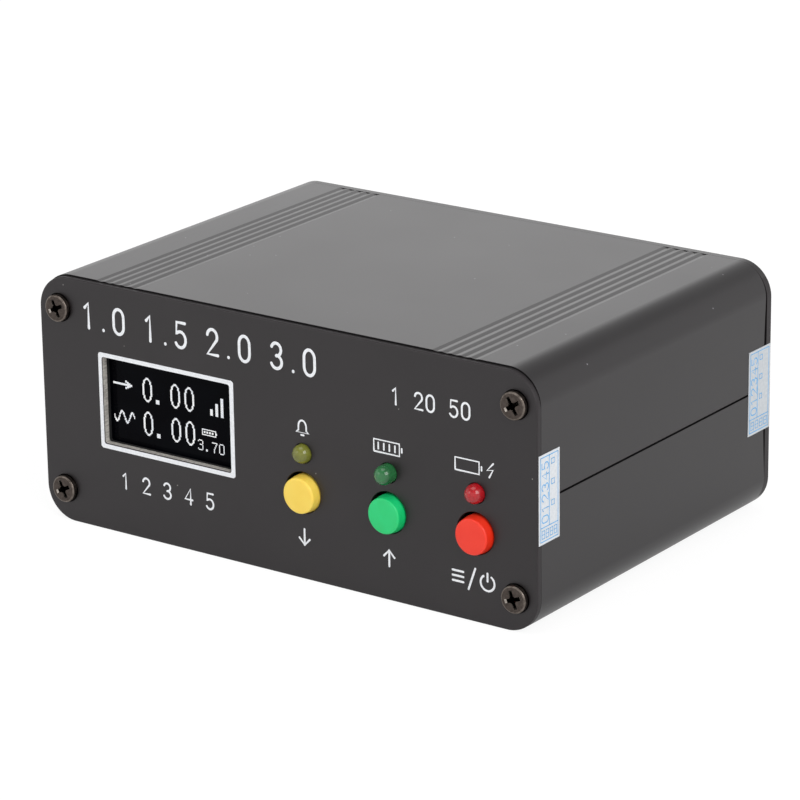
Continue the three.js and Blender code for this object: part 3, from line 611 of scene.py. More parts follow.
def hole_cutter(radius, x, z, thick, ease=HOLE_EASE):
    """Cuts a round hole whose mouth opens out at 45 degrees, by a trace or for a screw's head."""
    mouth = radius + ease
    return turned([(0, -PAST), (mouth, -PAST), (mouth, 0), (radius, ease),
                   (radius, thick + PAST), (0, thick + PAST)], (x, 0, z))


def on_rim(face, outline):
    """True on the plate's outer edge."""
    centre = face.calc_center_median() / MM
    (left, bottom), (right, top) = outline
    corner = Vector((max(abs(centre.x - (left + right) / 2) - (right - left) / 2 + CASE_CORNER, 0),
                     max(abs(centre.z - (bottom + top) / 2) - (top - bottom) / 2 + CASE_CORNER, 0)))
    return corner.length > CASE_CORNER - 0.2 and abs(face.normal.y) < 0.8


def make_plate(name, node, outline, thick, ease, cutters, turn):
    """A plate with its edge eased, drilled from its own face and then turned to its end. The
    long edges of the rear one shine as the shells do."""
    bm = panel_block(outline, 0, thick, CASE_CORNER, 20)
    soften(bm, ease, at_depth(0), 3)
    soften(bm, BACK_EASE, at_depth(thick), 1)
    countersinks = [hole_cutter(CHANNEL_BORE, x, z, thick, COUNTERSINK - CHANNEL_BORE)
                    for x, z in screw_places()]
    bm = cut_away(bm, *countersinks, *cutters)
    finishes = [SHEET, MILLED, SHEARED, EXTRUSION]
    for face in bm.faces:
        shown = SHEET
        if on_rim(face, outline):
            shown = EXTRUSION if turn and abs(face.normal.z) > 0.6 else SHEARED
        elif not turn and in_window(face):
            shown = MILLED
        face.material_index = finishes.index(shown)
    finish_piece(moved(bm, (0, REAR if turn else FRONT, 0), turn), name, finishes,
                 [node])


def screw_places():
    """The four corners where a plate is screwed on."""
    return [(x, z) for x in (-SCREW_X, SCREW_X)
            for z in (SCREW_INSET_Z, CASE_HEIGHT - SCREW_INSET_Z)]


def front_cutters():
    """The window, the buttons' holes and the lamps' holes."""
    window = panel_block(WINDOW, -PAST, FRONT_PLATE + PAST, WINDOW_CORNER, 6)
    across, up = CAP_DRIFT
    cap_holes = [hole_cutter(CAP_HOLE, x + across, BUTTON_HEIGHT + up, FRONT_PLATE)
                 for x in COLUMNS.values()]
    lamp_holes = [hole_cutter(LAMP_HOLE, x, LAMP_HEIGHT, FRONT_PLATE) for x in COLUMNS.values()]
    return [window] + cap_holes + lamp_holes


def port_block(half, rise, start, end, radius, segments=12):
    """A rounded box about the charge port's middle."""
    return panel_block(((-half, PORT_LEVEL - rise), (half, PORT_LEVEL + rise)), start, end,
                       radius, segments)


def rear_cutters():
    """The sockets' holes and the charge port's slot."""
    rise = PORT_HEIGHT / 2 + PORT_GAP
    port = port_block(PORT_WIDTH / 2 + PORT_GAP, rise, -PAST, REAR_PLATE + PAST, rise - 0.02)
    return [hole_cutter(SOCKET_HOLE, x, SOCKET_HEIGHT, REAR_PLATE)
            for x in (-SOCKET_X, SOCKET_X)] + [port]


def make_window_frame():
    """The soft frame that the glass is set against, between it and the plate."""
    start, back = SHELL_FRONT + 0.01, GLASS_FACE - 0.02
    bm = cut_away(panel_block(WINDOW, start, back, WINDOW_CORNER, grow=WINDOW_FRAME),
                  panel_block(WINDOW, start - PAST, back + PAST, WINDOW_CORNER, 6))
    finish_piece(bm, "window_frame", [FRAME_FOAM])


make_case_half("case_top_half", "upper_shell", True)
make_case_half("case_bottom_half", "lower_shell", False)
make_plate("front_plate", "front_panel", FRONT_OUTLINE, FRONT_PLATE, FRONT_EASE,
           front_cutters(), 0)
make_plate("rear_plate", "rear_panel", REAR_OUTLINE, REAR_PLATE, REAR_EASE, rear_cutters(),
           math.pi)
make_window_frame()


# Screws

SCREW_HEAD = 2.15
SCREW_PROUD = 0.95
SCREW_RIM = 0.26
SCREW_SIDE = 0.55
SCREW_SHANK = 1.2
SCREW_LENGTH = 8.0
SCREW_PITCH = 0.5
RECESS_SPAN = 3.0
RECESS_WIDTH = 0.62
RECESS_DEPTH = 1.3
RECESS_HEART = 0.62
RECESS_MOUTH = 0.2
SCREW_CROWN = 0.05
THREAD_DEPTH = 0.2
THREAD_END = 0.6

# How far each cross is turned, in radians
FRONT_TURNS = (-0.44, -0.44, -0.35, -0.56)
REAR_TURNS = (0.6, 0.9, 0.2, 1.1)


def screw_profile():
    """A slightly crowned face, a rounded rim, a straight edge, the cone and the thread."""
    face = -SCREW_PROUD
    points = crowned(SCREW_HEAD, SCREW_RIM, face, SCREW_CROWN, 4, 5)
    cone = face + SCREW_RIM + SCREW_SIDE
    depth = cone + SCREW_HEAD - SCREW_SHANK
    points += [(SCREW_HEAD, cone), (SCREW_SHANK, depth)]
    while depth + SCREW_PITCH < SCREW_LENGTH - THREAD_END:
        points += [(SCREW_SHANK - THREAD_DEPTH, depth + SCREW_PITCH / 2),
                   (SCREW_SHANK, depth + SCREW_PITCH)]
        depth += SCREW_PITCH
    return points + [(0, SCREW_LENGTH)]


def recess_arm(turn):
    """One arm of the cross: a flared mouth at its ends, then steep walls to a narrow floor."""
    top = -SCREW_PROUD - 0.5
    bm = block((-RECESS_SPAN / 2, top, -RECESS_WIDTH / 2),
               (RECESS_SPAN / 2, RECESS_DEPTH - SCREW_PROUD, RECESS_WIDTH / 2))
    level = (RECESS_MOUTH - SCREW_PROUD) * MM
    bmesh.ops.bisect_plane(bm, geom=bm.verts[:] + bm.edges[:] + bm.faces[:],
                           plane_co=(0, level, 0), plane_no=(0, 1, 0))
    for verts, shape in (([v for v in bm.verts if v.co.y > level + WELD], (0.55, 1, 0.55)),
                         ([v for v in bm.verts if abs(v.co.y - level) < WELD], (0.8, 1, 0.88)),
                         ([v for v in bm.verts if v.co.y < level - WELD], (1.5, 1, 1.3))):
        bmesh.ops.scale(bm, vec=shape, verts=verts)
    return moved(bm, (0, 0, 0), turn, "Y")


def screw_face_finish(face):
    """Which steel a face of the head shows: the painted highlight of its rim, the mouth of its
    cross, worn and with a painted glint, the painted shade inside that, or the rest."""
    centre = face.calc_center_median() / MM
    radius = math.hypot(centre.x, centre.z)
    depth = centre.y + SCREW_PROUD
    # The front of the rounded rim takes a painted highlight
    if radius > SCREW_HEAD - SCREW_RIM * 1.1:
        return RIM_PAINTED_HIGHLIGHT_STEEL if depth < 0.2 else SCREW_STEEL
    if depth > 1.6 or depth < 0.055:
        return SCREW_STEEL
    # Faces of the flared mouth that face sideways take a lighter steel: wear from the driver and a
    # painted glint
    flared = depth < RECESS_MOUTH and abs(face.normal.x) > abs(face.normal.z)
    # The other faces inside the cross take painted shade
    return WORN_AND_GLINT_STEEL if flared else RECESS_PAINTED_SHADE_STEEL


def make_screw(name, node, place, turn, turned_about):
    """A countersunk screw with its cross turned, facing forwards or turned about."""
    heart = turned([(0, -SCREW_PROUD - 0.5), (RECESS_HEART + 0.1, -SCREW_PROUD - 0.5),
                    (RECESS_HEART * 0.4, RECESS_DEPTH - SCREW_PROUD + 0.15),
                    (0, RECESS_DEPTH - SCREW_PROUD + 0.25)], steps=20)
    bm = cut_away(turned(screw_profile(), steps=48), heart, recess_arm(turn),
                  recess_arm(turn + math.pi / 2))
    finishes = [SCREW_STEEL, WORN_AND_GLINT_STEEL, RECESS_PAINTED_SHADE_STEEL, RIM_PAINTED_HIGHLIGHT_STEEL]
    for face in bm.faces:
        face.material_index = finishes.index(screw_face_finish(face))
    finish_piece(moved(bm, place, turned_about), name, finishes, [node])


def make_screws():
    """Four in front, and four behind in the same corners."""
    for i, (x, z) in enumerate(screw_places()):
        make_screw(f"front_plate_screw_{i + 1}", f"front_screw_{i + 1}",
                   (x, FRONT, z), FRONT_TURNS[i], 0)
        make_screw(f"rear_plate_screw_{i + 1}", f"rear_screw_{i + 1}",
                   (-x, REAR, z), REAR_TURNS[i], math.pi)


make_screws()


# Buttons

CAP_RADIUS = 2.95
CAP_FACE = 2.8
CAP_PROUD = 1.5
CAP_BACK = 1.9
CAP_EDGE = 0.3
CAP_CROWN = 0.05
CAP_BORE = 2.0
CAP_WALL = 1.0
CAP_DRAFT_END = 0.2


def cap_profile():
    """Crowned face, a small rounded edge, a skirt with draft and the bore for the plunger."""
    face = -CAP_PROUD
    return crowned(CAP_FACE, CAP_EDGE, face, CAP_CROWN, 6, 6) + [
        (CAP_RADIUS, CAP_DRAFT_END), (CAP_RADIUS, CAP_BACK), (CAP_BORE, CAP_BACK),
        (CAP_BORE, face + CAP_WALL), (0, face + CAP_WALL)]


def make_buttons():
    """The three caps, each on its own body."""
    for name, x in COLUMNS.items():
        bm = turned(cap_profile(), (x, FRONT, BUTTON_HEIGHT), 96)
        finish_piece(bm, f"{name}_button", [CAPS[name]], [f"{name}_cap"],
                     body=f"{name}_button")


make_buttons()


# Lamps

LAMP_RADIUS = 1.5
LAMP_LENGTH = 5.3
LAMP_FLANGE = 1.9
LEG_REACH = 6.8
LEG_SPREAD = 1.27
LEG_HALF = 0.25

# Each lamp's column, how far it stands proud, and its slot
LAMPS = {
    "alert": ("down", 1.65, "olive_lamp"),
    "full": ("up", 2.5, "green_lamp"),
    "charge": ("power", 1.82, "red_lamp"),
}


def lamp_profile(proud):
    """A dome, a straight side and the flange behind the plate."""
    start = LAMP_RADIUS - proud
    back = LAMP_LENGTH - proud
    points = []
    for i in range(13):
        angle = i / 12 * math.pi / 2
        points.append((LAMP_RADIUS * math.sin(angle), start - LAMP_RADIUS * math.cos(angle)))
    return points + [(LAMP_RADIUS, back - 1), (LAMP_FLANGE - 0.1, back - 1),
                     (LAMP_FLANGE, back - 0.9), (LAMP_FLANGE, back), (0, back)]


def make_lead_frame(lamp, x, proud):
    """Inside the resin: a post with its cup, and the shorter post beside it."""
    start = LAMP_RADIUS - proud
    bm = turned([(0, start + 0.15), (0.35, start + 0.1), (0.52, start - 0.2),
                 (0.62, start - 0.2), (0.62, start + 0.5), (0, start + 0.5)],
                (x - 0.15, FRONT, LAMP_HEIGHT), 24)
    depth = FRONT + start
    back = FRONT + LAMP_LENGTH - proud
    for left, right, top in ((-0.5, -0.05, depth + 0.5), (0.3, 0.75, depth + 0.3)):
        add_block(bm, (x + left, top, LAMP_HEIGHT - 0.2),
                  (x + right, back - 0.1, LAMP_HEIGHT + 0.2))
    finish_piece(bm, f"{lamp}_lamp_frame", [TINNED])


def make_lamps():
    """Each lamp's resin, the lead frame inside it and its two legs."""
    for lamp, (column, proud, slot) in LAMPS.items():
        x = COLUMNS[column]
        bm = turned(lamp_profile(proud), (x, FRONT, LAMP_HEIGHT))
        finish_piece(bm, f"{lamp}_lamp_body", [RESINS[lamp]], [f"{lamp}_lamp"])
        make_lead_frame(lamp, x, proud)
        back = FRONT + LAMP_LENGTH - proud + 0.02
        legs = bmesh.new()
        for side in (-LEG_SPREAD, LEG_SPREAD):
            add_block(legs, (x + side - LEG_HALF, back, LAMP_HEIGHT - LEG_HALF),
                      (x + side + LEG_HALF, FRONT + LEG_REACH, LAMP_HEIGHT + LEG_HALF))
        soften(legs, 0.05, segments=1)
        finish_piece(legs, f"{lamp}_lamp_legs", [TINNED])


make_lamps()


# Print on the front plate: strokes of ink, drawn in the plane of the plate

def stroke_mesh(strokes, width):
    """Flat ink strokes with round ends, from lists of points in millimetres."""
    line = bpy.data.curves.new("strokes", "CURVE")
    line.dimensions = "3D"
    line.bevel_depth = width / 2 * MM
    line.bevel_resolution = 2
    line.use_fill_caps = True
    for points in strokes:
        spline = line.splines.new("POLY")
        spline.points.add(len(points) - 1)
        for i, (x, z) in enumerate(points):
            spline.points[i].co = (x * MM, 0, z * MM, 1)
    bm = as_built(linked("strokes", line))
    bpy.data.curves.remove(line)
    bmesh.ops.remove_doubles(bm, verts=bm.verts, dist=WELD / 4)
    for points in strokes:
        for x, z in (points[0], points[-1]):
            bmesh.ops.create_uvsphere(bm, u_segments=12, v_segments=6, radius=width / 2 * MM,
                                      matrix=Matrix.Translation((x * MM, 0, z * MM)))
    bmesh.ops.scale(bm, vec=(1, INK_RISE * 2 / width, 1), verts=bm.verts)
    return bm


def arc(centre_x, centre_z, radius_x, radius_z, start, end, steps=14):
    """Points on part of an ellipse, with angles in degrees counted up from the right."""
    points = []
    for i in range(steps + 1):
        angle = math.radians(start + (end - start) * i / steps)
        points.append((centre_x + radius_x * math.cos(angle),
                       centre_z + radius_z * math.sin(angle)))
    return points


def numeral_strokes():
    """Plain numerals in a unit box: one line width, narrow, with round bowls."""
    return {
        "0": [arc(0.5, 0.68, 0.46, 0.32, 0, 180) + arc(0.5, 0.32, 0.46, 0.32, 180, 360)
              + [(0.96, 0.68)]],
        "1": [[(0.22, 0.8), (0.56, 1), (0.56, 0)]],
        "2": [arc(0.5, 0.72, 0.44, 0.28, 170, -25) + [(0.04, 0), (0.98, 0)]],
        "3": [arc(0.47, 0.75, 0.42, 0.25, 160, -90), arc(0.47, 0.26, 0.47, 0.26, 85, -160)],
        "4": [[(0.76, 0), (0.76, 1), (0.02, 0.3), (1, 0.3)]],
        "5": [[(0.9, 1), (0.16, 1), (0.1, 0.55)] + arc(0.46, 0.32, 0.48, 0.32, 130, -150)],
        ".": [[(0.5, 0.02), (0.5, 0.03)]],
    }


NUMERALS = numeral_strokes()


def written(text, left, bottom, height, glyph_width, pitch):
    """Strokes of a row of numerals."""
    strokes = []
    for i, sign in enumerate(text):
        for points in NUMERALS.get(sign, []):
            strokes.append([(left + i * pitch + x * glyph_width, bottom + z * height)
                            for x, z in points])
    return strokes


def shifted(strokes, x, z, size=1.0):
    """Strokes drawn to a size and set in their place."""
    return [[(x + px * size, z + pz * size) for px, pz in points] for points in strokes]


def battery_sign(width, height, cells):
    """A cell seen from the side, with its charge in bars."""
    cap = height * 0.22
    strokes = [[(0, 0), (width, 0), (width, height), (0, height), (0, 0)],
               [(width + cap, height * 0.35), (width + cap, height * 0.65)]]
    for i in range(cells):
        x = width * (i + 0.8) / (cells + 0.6)
        strokes.append([(x, height * 0.25), (x, height * 0.75)])
    return strokes


def bolt_sign():
    """A lightning stroke."""
    return [[(0.62, 1), (0.12, 0.45), (0.6, 0.55), (0.3, 0)]]


def bell_sign():
    """A bell with its clapper."""
    return [arc(0.5, 0.55, 0.3, 0.4, 0, 180) + [(0.2, 0.3), (0.02, 0.16), (0.98, 0.16),
            (0.8, 0.3), (0.8, 0.55)], [(0.4, 0), (0.6, 0)]]


def power_sign():
    """An open ring with a stroke at its gap."""
    return [arc(0.5, 0.45, 0.45, 0.45, 125, 415, 24), [(0.5, 0.55), (0.5, 1)]]


def arrow_sign(up):
    """An arrow that points up or down."""
    tip, tail = (1, 0) if up else (0, 1)
    wing = 0.6 if up else 0.4
    return [[(0.5, tail), (0.5, tip)], [(0.12, wing), (0.5, tip), (0.88, wing)]]


def menu_sign():
    """Three bars."""
    return [[(0, z), (0.9, z)] for z in (0.12, 0.5, 0.88)]


def make_print(name, strokes, width):
    """Ink strokes on the front plate, half sunk in it."""
    finish_piece(moved(stroke_mesh(strokes, width), (0, FRONT, 0)), name, [INK])


def make_border():
    """The printed frame round the window."""
    bm = cut_away(panel_block(BORDER, FRONT - INK_RISE, FRONT + INK_SINK, BORDER_CORNER),
                  panel_block(BORDER_HOLE, FRONT - PAST, FRONT + PAST, WINDOW_CORNER))
    finish_piece(bm, "window_border", [INK])


def make_legends():
    """Numbers and signs in three sizes of stroke: large, small, and the finest for the cells."""
    down, up, power = COLUMNS["down"], COLUMNS["up"], COLUMNS["power"]
    make_print("top_scale", written("1.0 1.5 2.0 3.0", -37.6, 32.4, 3.95, 2.1, 3.02), 0.5)
    make_print("right_scale", written("1 20 50", 20.5, 30.85, 2.5, 1.45, 2.07), 0.33)
    make_print("lower_scale", written("1 2 3 4 5", -31.0, 7.5, 2.5, 1.45, 2.07), 0.33)
    make_print("bell_mark", shifted(bell_sign(), down - 1.2, 22.85, 2.4), 0.3)
    make_print("full_cell_mark", shifted(battery_sign(4.6, 1.9, 4), up - 2.5, 22.95), 0.28)
    make_print("charge_mark", shifted(battery_sign(4.2, 1.9, 0), power - 3.6, 22.95)
               + shifted(bolt_sign(), power + 1.7, 22.85, 2.2), 0.28)
    make_print("down_mark", shifted(arrow_sign(False), down - 1.25, 5.5, 2.5), 0.34)
    make_print("up_mark", shifted(arrow_sign(True), up - 1.25, 5.4, 2.5), 0.34)
    make_print("power_mark", shifted(menu_sign(), power - 4.2, 5.5, 2.1)
               + [[(power - 1.4, 4.9), (power - 0.2, 8.3)]]
               + shifted(power_sign(), power + 0.6, 5.3, 2.7), 0.34)


make_border()
make_legends()


# Display

def ring_dots(left, top, width, height, weight):
    """A tall numeral nought: the dots between two ovals."""
    dots = set()
    for column in range(width):
        for row in range(height):
            x = (column + 0.5 - width / 2) / (width / 2)
            z = (row + 0.5 - height / 2) / (height / 2)
            inner_x = (column + 0.5 - width / 2) / (width / 2 - weight)
            inner_z = (row + 0.5 - height / 2) / (height / 2 - weight * 0.8)
            if x * x + z * z <= 1.02 and inner_x * inner_x + inner_z * inner_z > 1:
                dots.add((left + column, top + row))
    return dots


def sign_dots(rows, left, top):
    """Dots of a small sign drawn as rows."""
    return {(left + i, top + j) for j, row in enumerate(rows)
            for i, mark in enumerate(row) if mark == "#"}


def reading_dots(top):
    """The tall reading, nought and two decimals."""
    dots = set()
    for left in (35, 67, 83):
        dots |= ring_dots(left, top, 11, 23, 2)
    return dots | sign_dots(["####", "####", "####", "####"], 50, top + 19)


ARROW_SIGN = [
    "..............##......",
    "..............####....",
    "................####..",
    "######################",
    "######################",
    "................####..",
    "..............####....",
    "..............##......",
]
CELL_SIGN = [
    "################.",
    "#..............#.",
    "#.##.##.##.##..##",
    "#.##.##.##.##..##",
    "#..............#.",
    "################.",
]
SMALL_NUMERALS = {
    "3": [".####.", "#....#", ".....#", ".....#", "..###.", ".....#", ".....#", ".....#",
          "#....#", ".####."],
    ".": ["......"] * 8 + [".##...", ".##..."],
    "7": ["######", ".....#"] + ["....#."] * 2 + ["...#.."] * 2 + ["..#..."] * 4,
    "0": [".####."] + ["#....#"] * 8 + [".####."],
}


def wave_dots(left, top, length, height):
    """A standing wave, two dots thick."""
    dots = set()
    for i in range(length * 4):
        column = i / 4
        row = (height - 2) / 2 * (1 + math.sin(column / length * 4 * math.pi))
        for more in (0, 1):
            dots.add((left + int(column), top + round(row) + more))
    return dots


def level_dots(left, foot):
    """Three bars, each a step taller than the last."""
    step, wide = 6, 3
    return {(left + bar * step + column, foot - row)
            for bar in range(3) for column in range(wide) for row in range((bar + 1) * step)}


def screen_dots():
    """The whole picture, in dots from the left and the top: two readings, their signs, a level,
    a cell and its voltage."""
    dots = reading_dots(4) | reading_dots(36)
    dots |= sign_dots(ARROW_SIGN, 1, 11)
    dots |= wave_dots(1, 40, 24, 12)
    dots |= level_dots(112, 25)
    dots |= sign_dots(CELL_SIGN, 102, 40)
    for i, sign in enumerate("3.70"):
        dots |= sign_dots(SMALL_NUMERALS[sign], 97 + i * 8, 51)
    return dots


def make_screen():
    """Runs of lit dots, each a thin tile on the glass."""
    dots = screen_dots()
    left = SCREEN_CENTRE[0] - SCREEN_COLUMNS / 2 * DOT_PITCH
    top = SCREEN_CENTRE[1] + SCREEN_ROWS / 2 * DOT_PITCH
    gap = DOT_PITCH * (1 - DOT_FILL) / 2
    bm = bmesh.new()
    for column, row in sorted(dots):
        x = left + column * DOT_PITCH
        z = top - row * DOT_PITCH
        add_block(bm, (x + gap, GLASS_FACE - DOT_RISE, z - DOT_PITCH + gap),
                  (x + DOT_PITCH - gap, GLASS_FACE + DOT_SINK, z - gap))
    finish_piece(bm, "lit_dots", [DOTS], crease=0)
    low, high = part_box("display_glass")
    glass = block(low / MM, high / MM)
    soften(glass, 0.1, segments=1)
    finish_piece(glass, "display_pane", [GLASS], ["display_glass"])


make_screen()


# Coaxial sockets and charge port, behind: made with the depth counted inwards from the plate's
# outer face, then turned to the rear

SOCKET_REACH = 13
THREAD_CREST = 7.94
THREAD_ROOT = 7.42
THREAD_PITCH = 1.058
THREAD_START = 2.6
THREAD_TURNS = 9
RIM_NOTCH = 1.7
RIM_NOTCH_DEPTH = 1.2
CONTACT_REACH = 10.6
CONTACT_SLOT = 0.4
CONTACT_SLOT_DEPTH = 4.5

# Turned pieces, as (radius, depth) points: the barrel up to its thread, the insulator with its
# raised lip, and the contact with its cup
BARREL_PROFILE = [
    (6.4, -SOCKET_REACH), (6.2, 0.2 - SOCKET_REACH), (6.2, -0.8), (3.9, -0.8), (3.9, 6.5),
    (5.8, 6.5), (5.8, 0), (9.6, 0), (9.6, -1.5), (9.45, -1.86), (9.1, -2), (7.4, -2),
    (THREAD_ROOT, -THREAD_START),
]
INSULATOR_PROFILE = [
    (1.5, -3), (2.75, -3), (3, -2.75), (5.3, -2.75), (5.6, -3), (5.9, -2.95), (5.9, -0.8),
    (3.6, -0.8), (3.6, 7.5), (1.5, 7.5), (1.5, -3),
]
CONTACT_PROFILE = [
    (0, -4), (1.95, -4), (1.95, 0.3 - CONTACT_REACH), (2.1, -CONTACT_REACH),
    (2.4, -CONTACT_REACH), (2.55, 0.15 - CONTACT_REACH), (2.55, -3.02), (1.2, -3.02),
    (1.2, 11.1), (0, 11.1),
]

PORT_DEPTH = (0.5, 7.8)
PORT_WALL = 0.32
PORT_BACK = 1
TONGUE_DEPTH = (2.2, 6.8)
TONGUE_WIDTH = 6.6
TONGUE_THICK = 0.7
PORT_CONTACTS = 12
CONTACT_PITCH = 0.5


def to_rear(bm):
    """Turns a piece round, from the front's depth to its place behind."""
    return moved(bm, (0, REAR, 0), math.pi)


def slotted(bm, x, z, width, start, end, reach):
    """Cuts two crossed slots, and so four notches, in the open end of a tube."""
    for size_x, size_z in ((reach, width / 2), (width / 2, reach)):
        bm = cut_away(bm, block((x - size_x, start, z - size_z), (x + size_x, end, z + size_z)))
    return bm


def barrel_profile():
    """The barrel's bore, its boss through the plate, its flange and its thread."""
    points = list(BARREL_PROFILE)
    for i in range(THREAD_TURNS):
        depth = -THREAD_START - i * THREAD_PITCH
        for radius, share in ((THREAD_CREST, 0.44), (THREAD_CREST, 0.56), (THREAD_ROOT, 0.94),
                              (THREAD_ROOT, 1.0)):
            points.append((radius, depth - share * THREAD_PITCH))
    return points + [(THREAD_CREST - 0.06, -12.45), (7.44, -SOCKET_REACH),
                     (6.4, -SOCKET_REACH)]


def make_socket(name, x):
    """A threaded barrel with four notches, its insulator, and a contact in four springs."""
    z = SOCKET_HEIGHT
    barrel = slotted(turned(barrel_profile(), (x, 0, z), 72), x, z, RIM_NOTCH,
                     -SOCKET_REACH - PAST, RIM_NOTCH_DEPTH - SOCKET_REACH, 9)
    finish_piece(to_rear(barrel), f"{name}_barrel", [NICKEL], [f"{name}_body"])
    insulator = turned(INSULATOR_PROFILE, (x, 0, z), 48)
    finish_piece(to_rear(insulator), f"{name}_dielectric", [FLUOROPOLYMER],
                 [f"{name}_insulator"])
    contact = slotted(turned(CONTACT_PROFILE, (x, 0, z), 48), x, z, CONTACT_SLOT,
                      -CONTACT_REACH - PAST, CONTACT_SLOT_DEPTH - CONTACT_REACH, 4)
    finish_piece(to_rear(contact), f"{name}_pin_contact", [GOLD],
                 [f"{name}_contact"])


def make_port():
    """A drawn steel sleeve with its tongue, and gold strips on both faces of that."""
    width, height, wall = PORT_WIDTH / 2, PORT_HEIGHT / 2, PORT_WALL
    start, end = PORT_DEPTH
    sleeve = port_block(width, height, start, end, height - 0.02)
    soften(sleeve, 0.06, at_depth(start), 1)
    mouth = port_block(width - wall, height - wall, start - PAST, end - PORT_BACK,
                       height - wall - 0.02)
    finish_piece(to_rear(cut_away(sleeve, mouth)), "charge_port_sleeve", [PORT_STEEL],
                 ["charge_port"])
    reach, thick = TONGUE_WIDTH / 2, TONGUE_THICK / 2
    start, end = TONGUE_DEPTH
    tongue = port_block(reach, thick, start, end, 0.12, 2)
    soften(tongue, 0.12, at_depth(start))
    finish_piece(to_rear(tongue), "charge_port_blade", [BLACK_PLASTIC],
                 ["charge_port_tongue"])
    strips = bmesh.new()
    for i in range(PORT_CONTACTS):
        x = (i - (PORT_CONTACTS - 1) / 2) * CONTACT_PITCH
        for side in (-1, 1):
            level = PORT_LEVEL + side * thick
            add_block(strips, (x - 0.12, start + 0.4, level - 0.02),
                      (x + 0.12, end - 0.3, level + 0.02))
    finish_piece(to_rear(strips), "charge_port_strips", [GOLD], crease=0)


for end, x in (("antenna", SOCKET_X), ("transmitter", -SOCKET_X)):
    make_socket(f"{end}_socket", x)
make_port()


# Paper seals, with their ruled print measured from the left edge and the foot

SEAL_LINE = 0.13
SEAL_FINE_LINE = 0.11
SEAL_INSET = 0.42
SEAL_DIVIDER = 2.64
SEAL_LEDGE = 2.55
TICK_BOXES = (5.4, 8.6, 11.7)


def make_seal(name, node, lean, paper):
    """A sheet and its print, leaning by an angle in degrees."""
    low, high = (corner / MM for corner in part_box(node))
    sheet = block(low, (high.x - 0.02, high.y, high.z))
    marks = seal_marks(low, high)
    middle = (low + high) / 2
    for bm in (sheet, marks):
        bmesh.ops.rotate(bm, verts=bm.verts, cent=middle * MM,
                         matrix=Matrix.Rotation(math.radians(lean), 3, "X"))
    finish_piece(sheet, f"{name}_sheet", [paper], [node])
    finish_piece(marks, f"{name}_print", [BLUE_INK], crease=0)


def seal_marks(low, high):
    """A plain form: a frame, a column of digits that read upwards, three tick boxes beside it
    and a row of four boxes at the foot."""
    bm = bmesh.new()

    def rule(y0, z0, y1, z1, line=SEAL_LINE):
        add_block(bm, (high.x - 0.03, low.y + y0 - line / 2, low.z + z0 - line / 2),
                  (high.x - 0.008, low.y + y1 + line / 2, low.z + z1 + line / 2))

    def box(y0, z0, y1, z1, line=SEAL_LINE):
        for ends in ((y0, z0, y1, z0), (y0, z1, y1, z1), (y0, z0, y0, z1), (y1, z0, y1, z1)):
            rule(*ends, line)

    right, top = high.y - low.y - SEAL_INSET, high.z - low.z - SEAL_INSET
    box(SEAL_INSET, SEAL_INSET, right, top)
    rule(SEAL_INSET, SEAL_LEDGE, right, SEAL_LEDGE)
    rule(SEAL_DIVIDER, SEAL_LEDGE, SEAL_DIVIDER, top)
    for z in TICK_BOXES:
        box(SEAL_DIVIDER + 0.55, z, SEAL_DIVIDER + 1.3, z + 0.75, SEAL_FINE_LINE)
    step = (right - SEAL_INSET - 0.3) / 4
    middle = (SEAL_INSET + SEAL_LEDGE) / 2
    for i in range(4):
        y = SEAL_INSET + 0.15 + (i + 0.18) * step
        box(y, SEAL_INSET + 0.45, y + step * 0.64, SEAL_LEDGE - 0.5, SEAL_FINE_LINE)
        rule(y, middle, y + step * 0.64, middle, 0.1)
    digits = stroke_mesh(written("012345", 0, 0, 1.66, 1.15, 1.62), 0.21)
    turn_to_seal(digits, low, high)
    mesh = bpy.data.meshes.new("digits")
    digits.to_mesh(mesh)
    digits.free()
    bm.from_mesh(mesh)
    bpy.data.meshes.remove(mesh)
    return bm


def turn_to_seal(digits, low, high):
    """Turns the row upright and puts it in the wide column, its first digit at the foot."""
    for axis, turn in (("Y", -math.pi / 2), ("Z", math.pi / 2)):
        moved(digits, (0, 0, 0), turn, axis)
    ends = [[min(v.co[i] for v in digits.verts), max(v.co[i] for v in digits.verts)]
            for i in range(3)]
    bmesh.ops.translate(digits, verts=digits.verts, vec=(
        (high.x - 0.012) * MM - ends[0][1], (low.y + 0.66) * MM - ends[1][0],
        (low.z + 3.1) * MM - ends[2][0]))


make_seal("front_paper_seal", "front_seal", 0, CLEAN_PAPER)
make_seal("rear_paper_seal", "rear_seal", -0.2, HANDLED_PAPER)


# What stays from the frame gets its finish

NODE_FINISHES = {
    "display_board": BLUE_LAMINATE, "display_header": BLACK_PLASTIC,
    "front_board": LAMINATE, "board_header": BLACK_PLASTIC, "main_board": LAMINATE,
    "microcontroller": BLACK_PLASTIC, "charger_chip": BLACK_PLASTIC,
    "power_inductor": FERRITE,
    "coupler_board": LAMINATE, "line_conductor": COPPER, "current_toroid": FERRITE,
    "voltage_toroid": FERRITE, "battery_cell": FOIL, "cell_guard": TAPE,
    "battery_socket": FLUOROPOLYMER, "battery_lead_red": RED_WIRE,
    "battery_lead_black": BLACK_WIRE,
}
for button in COLUMNS:
    NODE_FINISHES[f"{button}_plunger"] = BLACK_PLASTIC
    NODE_FINISHES[f"{button}_switch"] = BLACK_PLASTIC
for end in ("antenna", "transmitter"):
    NODE_FINISHES[f"{end}_socket_nut"] = NICKEL
for node, material in NODE_FINISHES.items():
    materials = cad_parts[node].data.materials
    materials.clear()
    materials.append(material)


# Floor, light and camera. The floor lies a trace under the base, so that they don't coincide.

FLOOR_DROP = 0.02


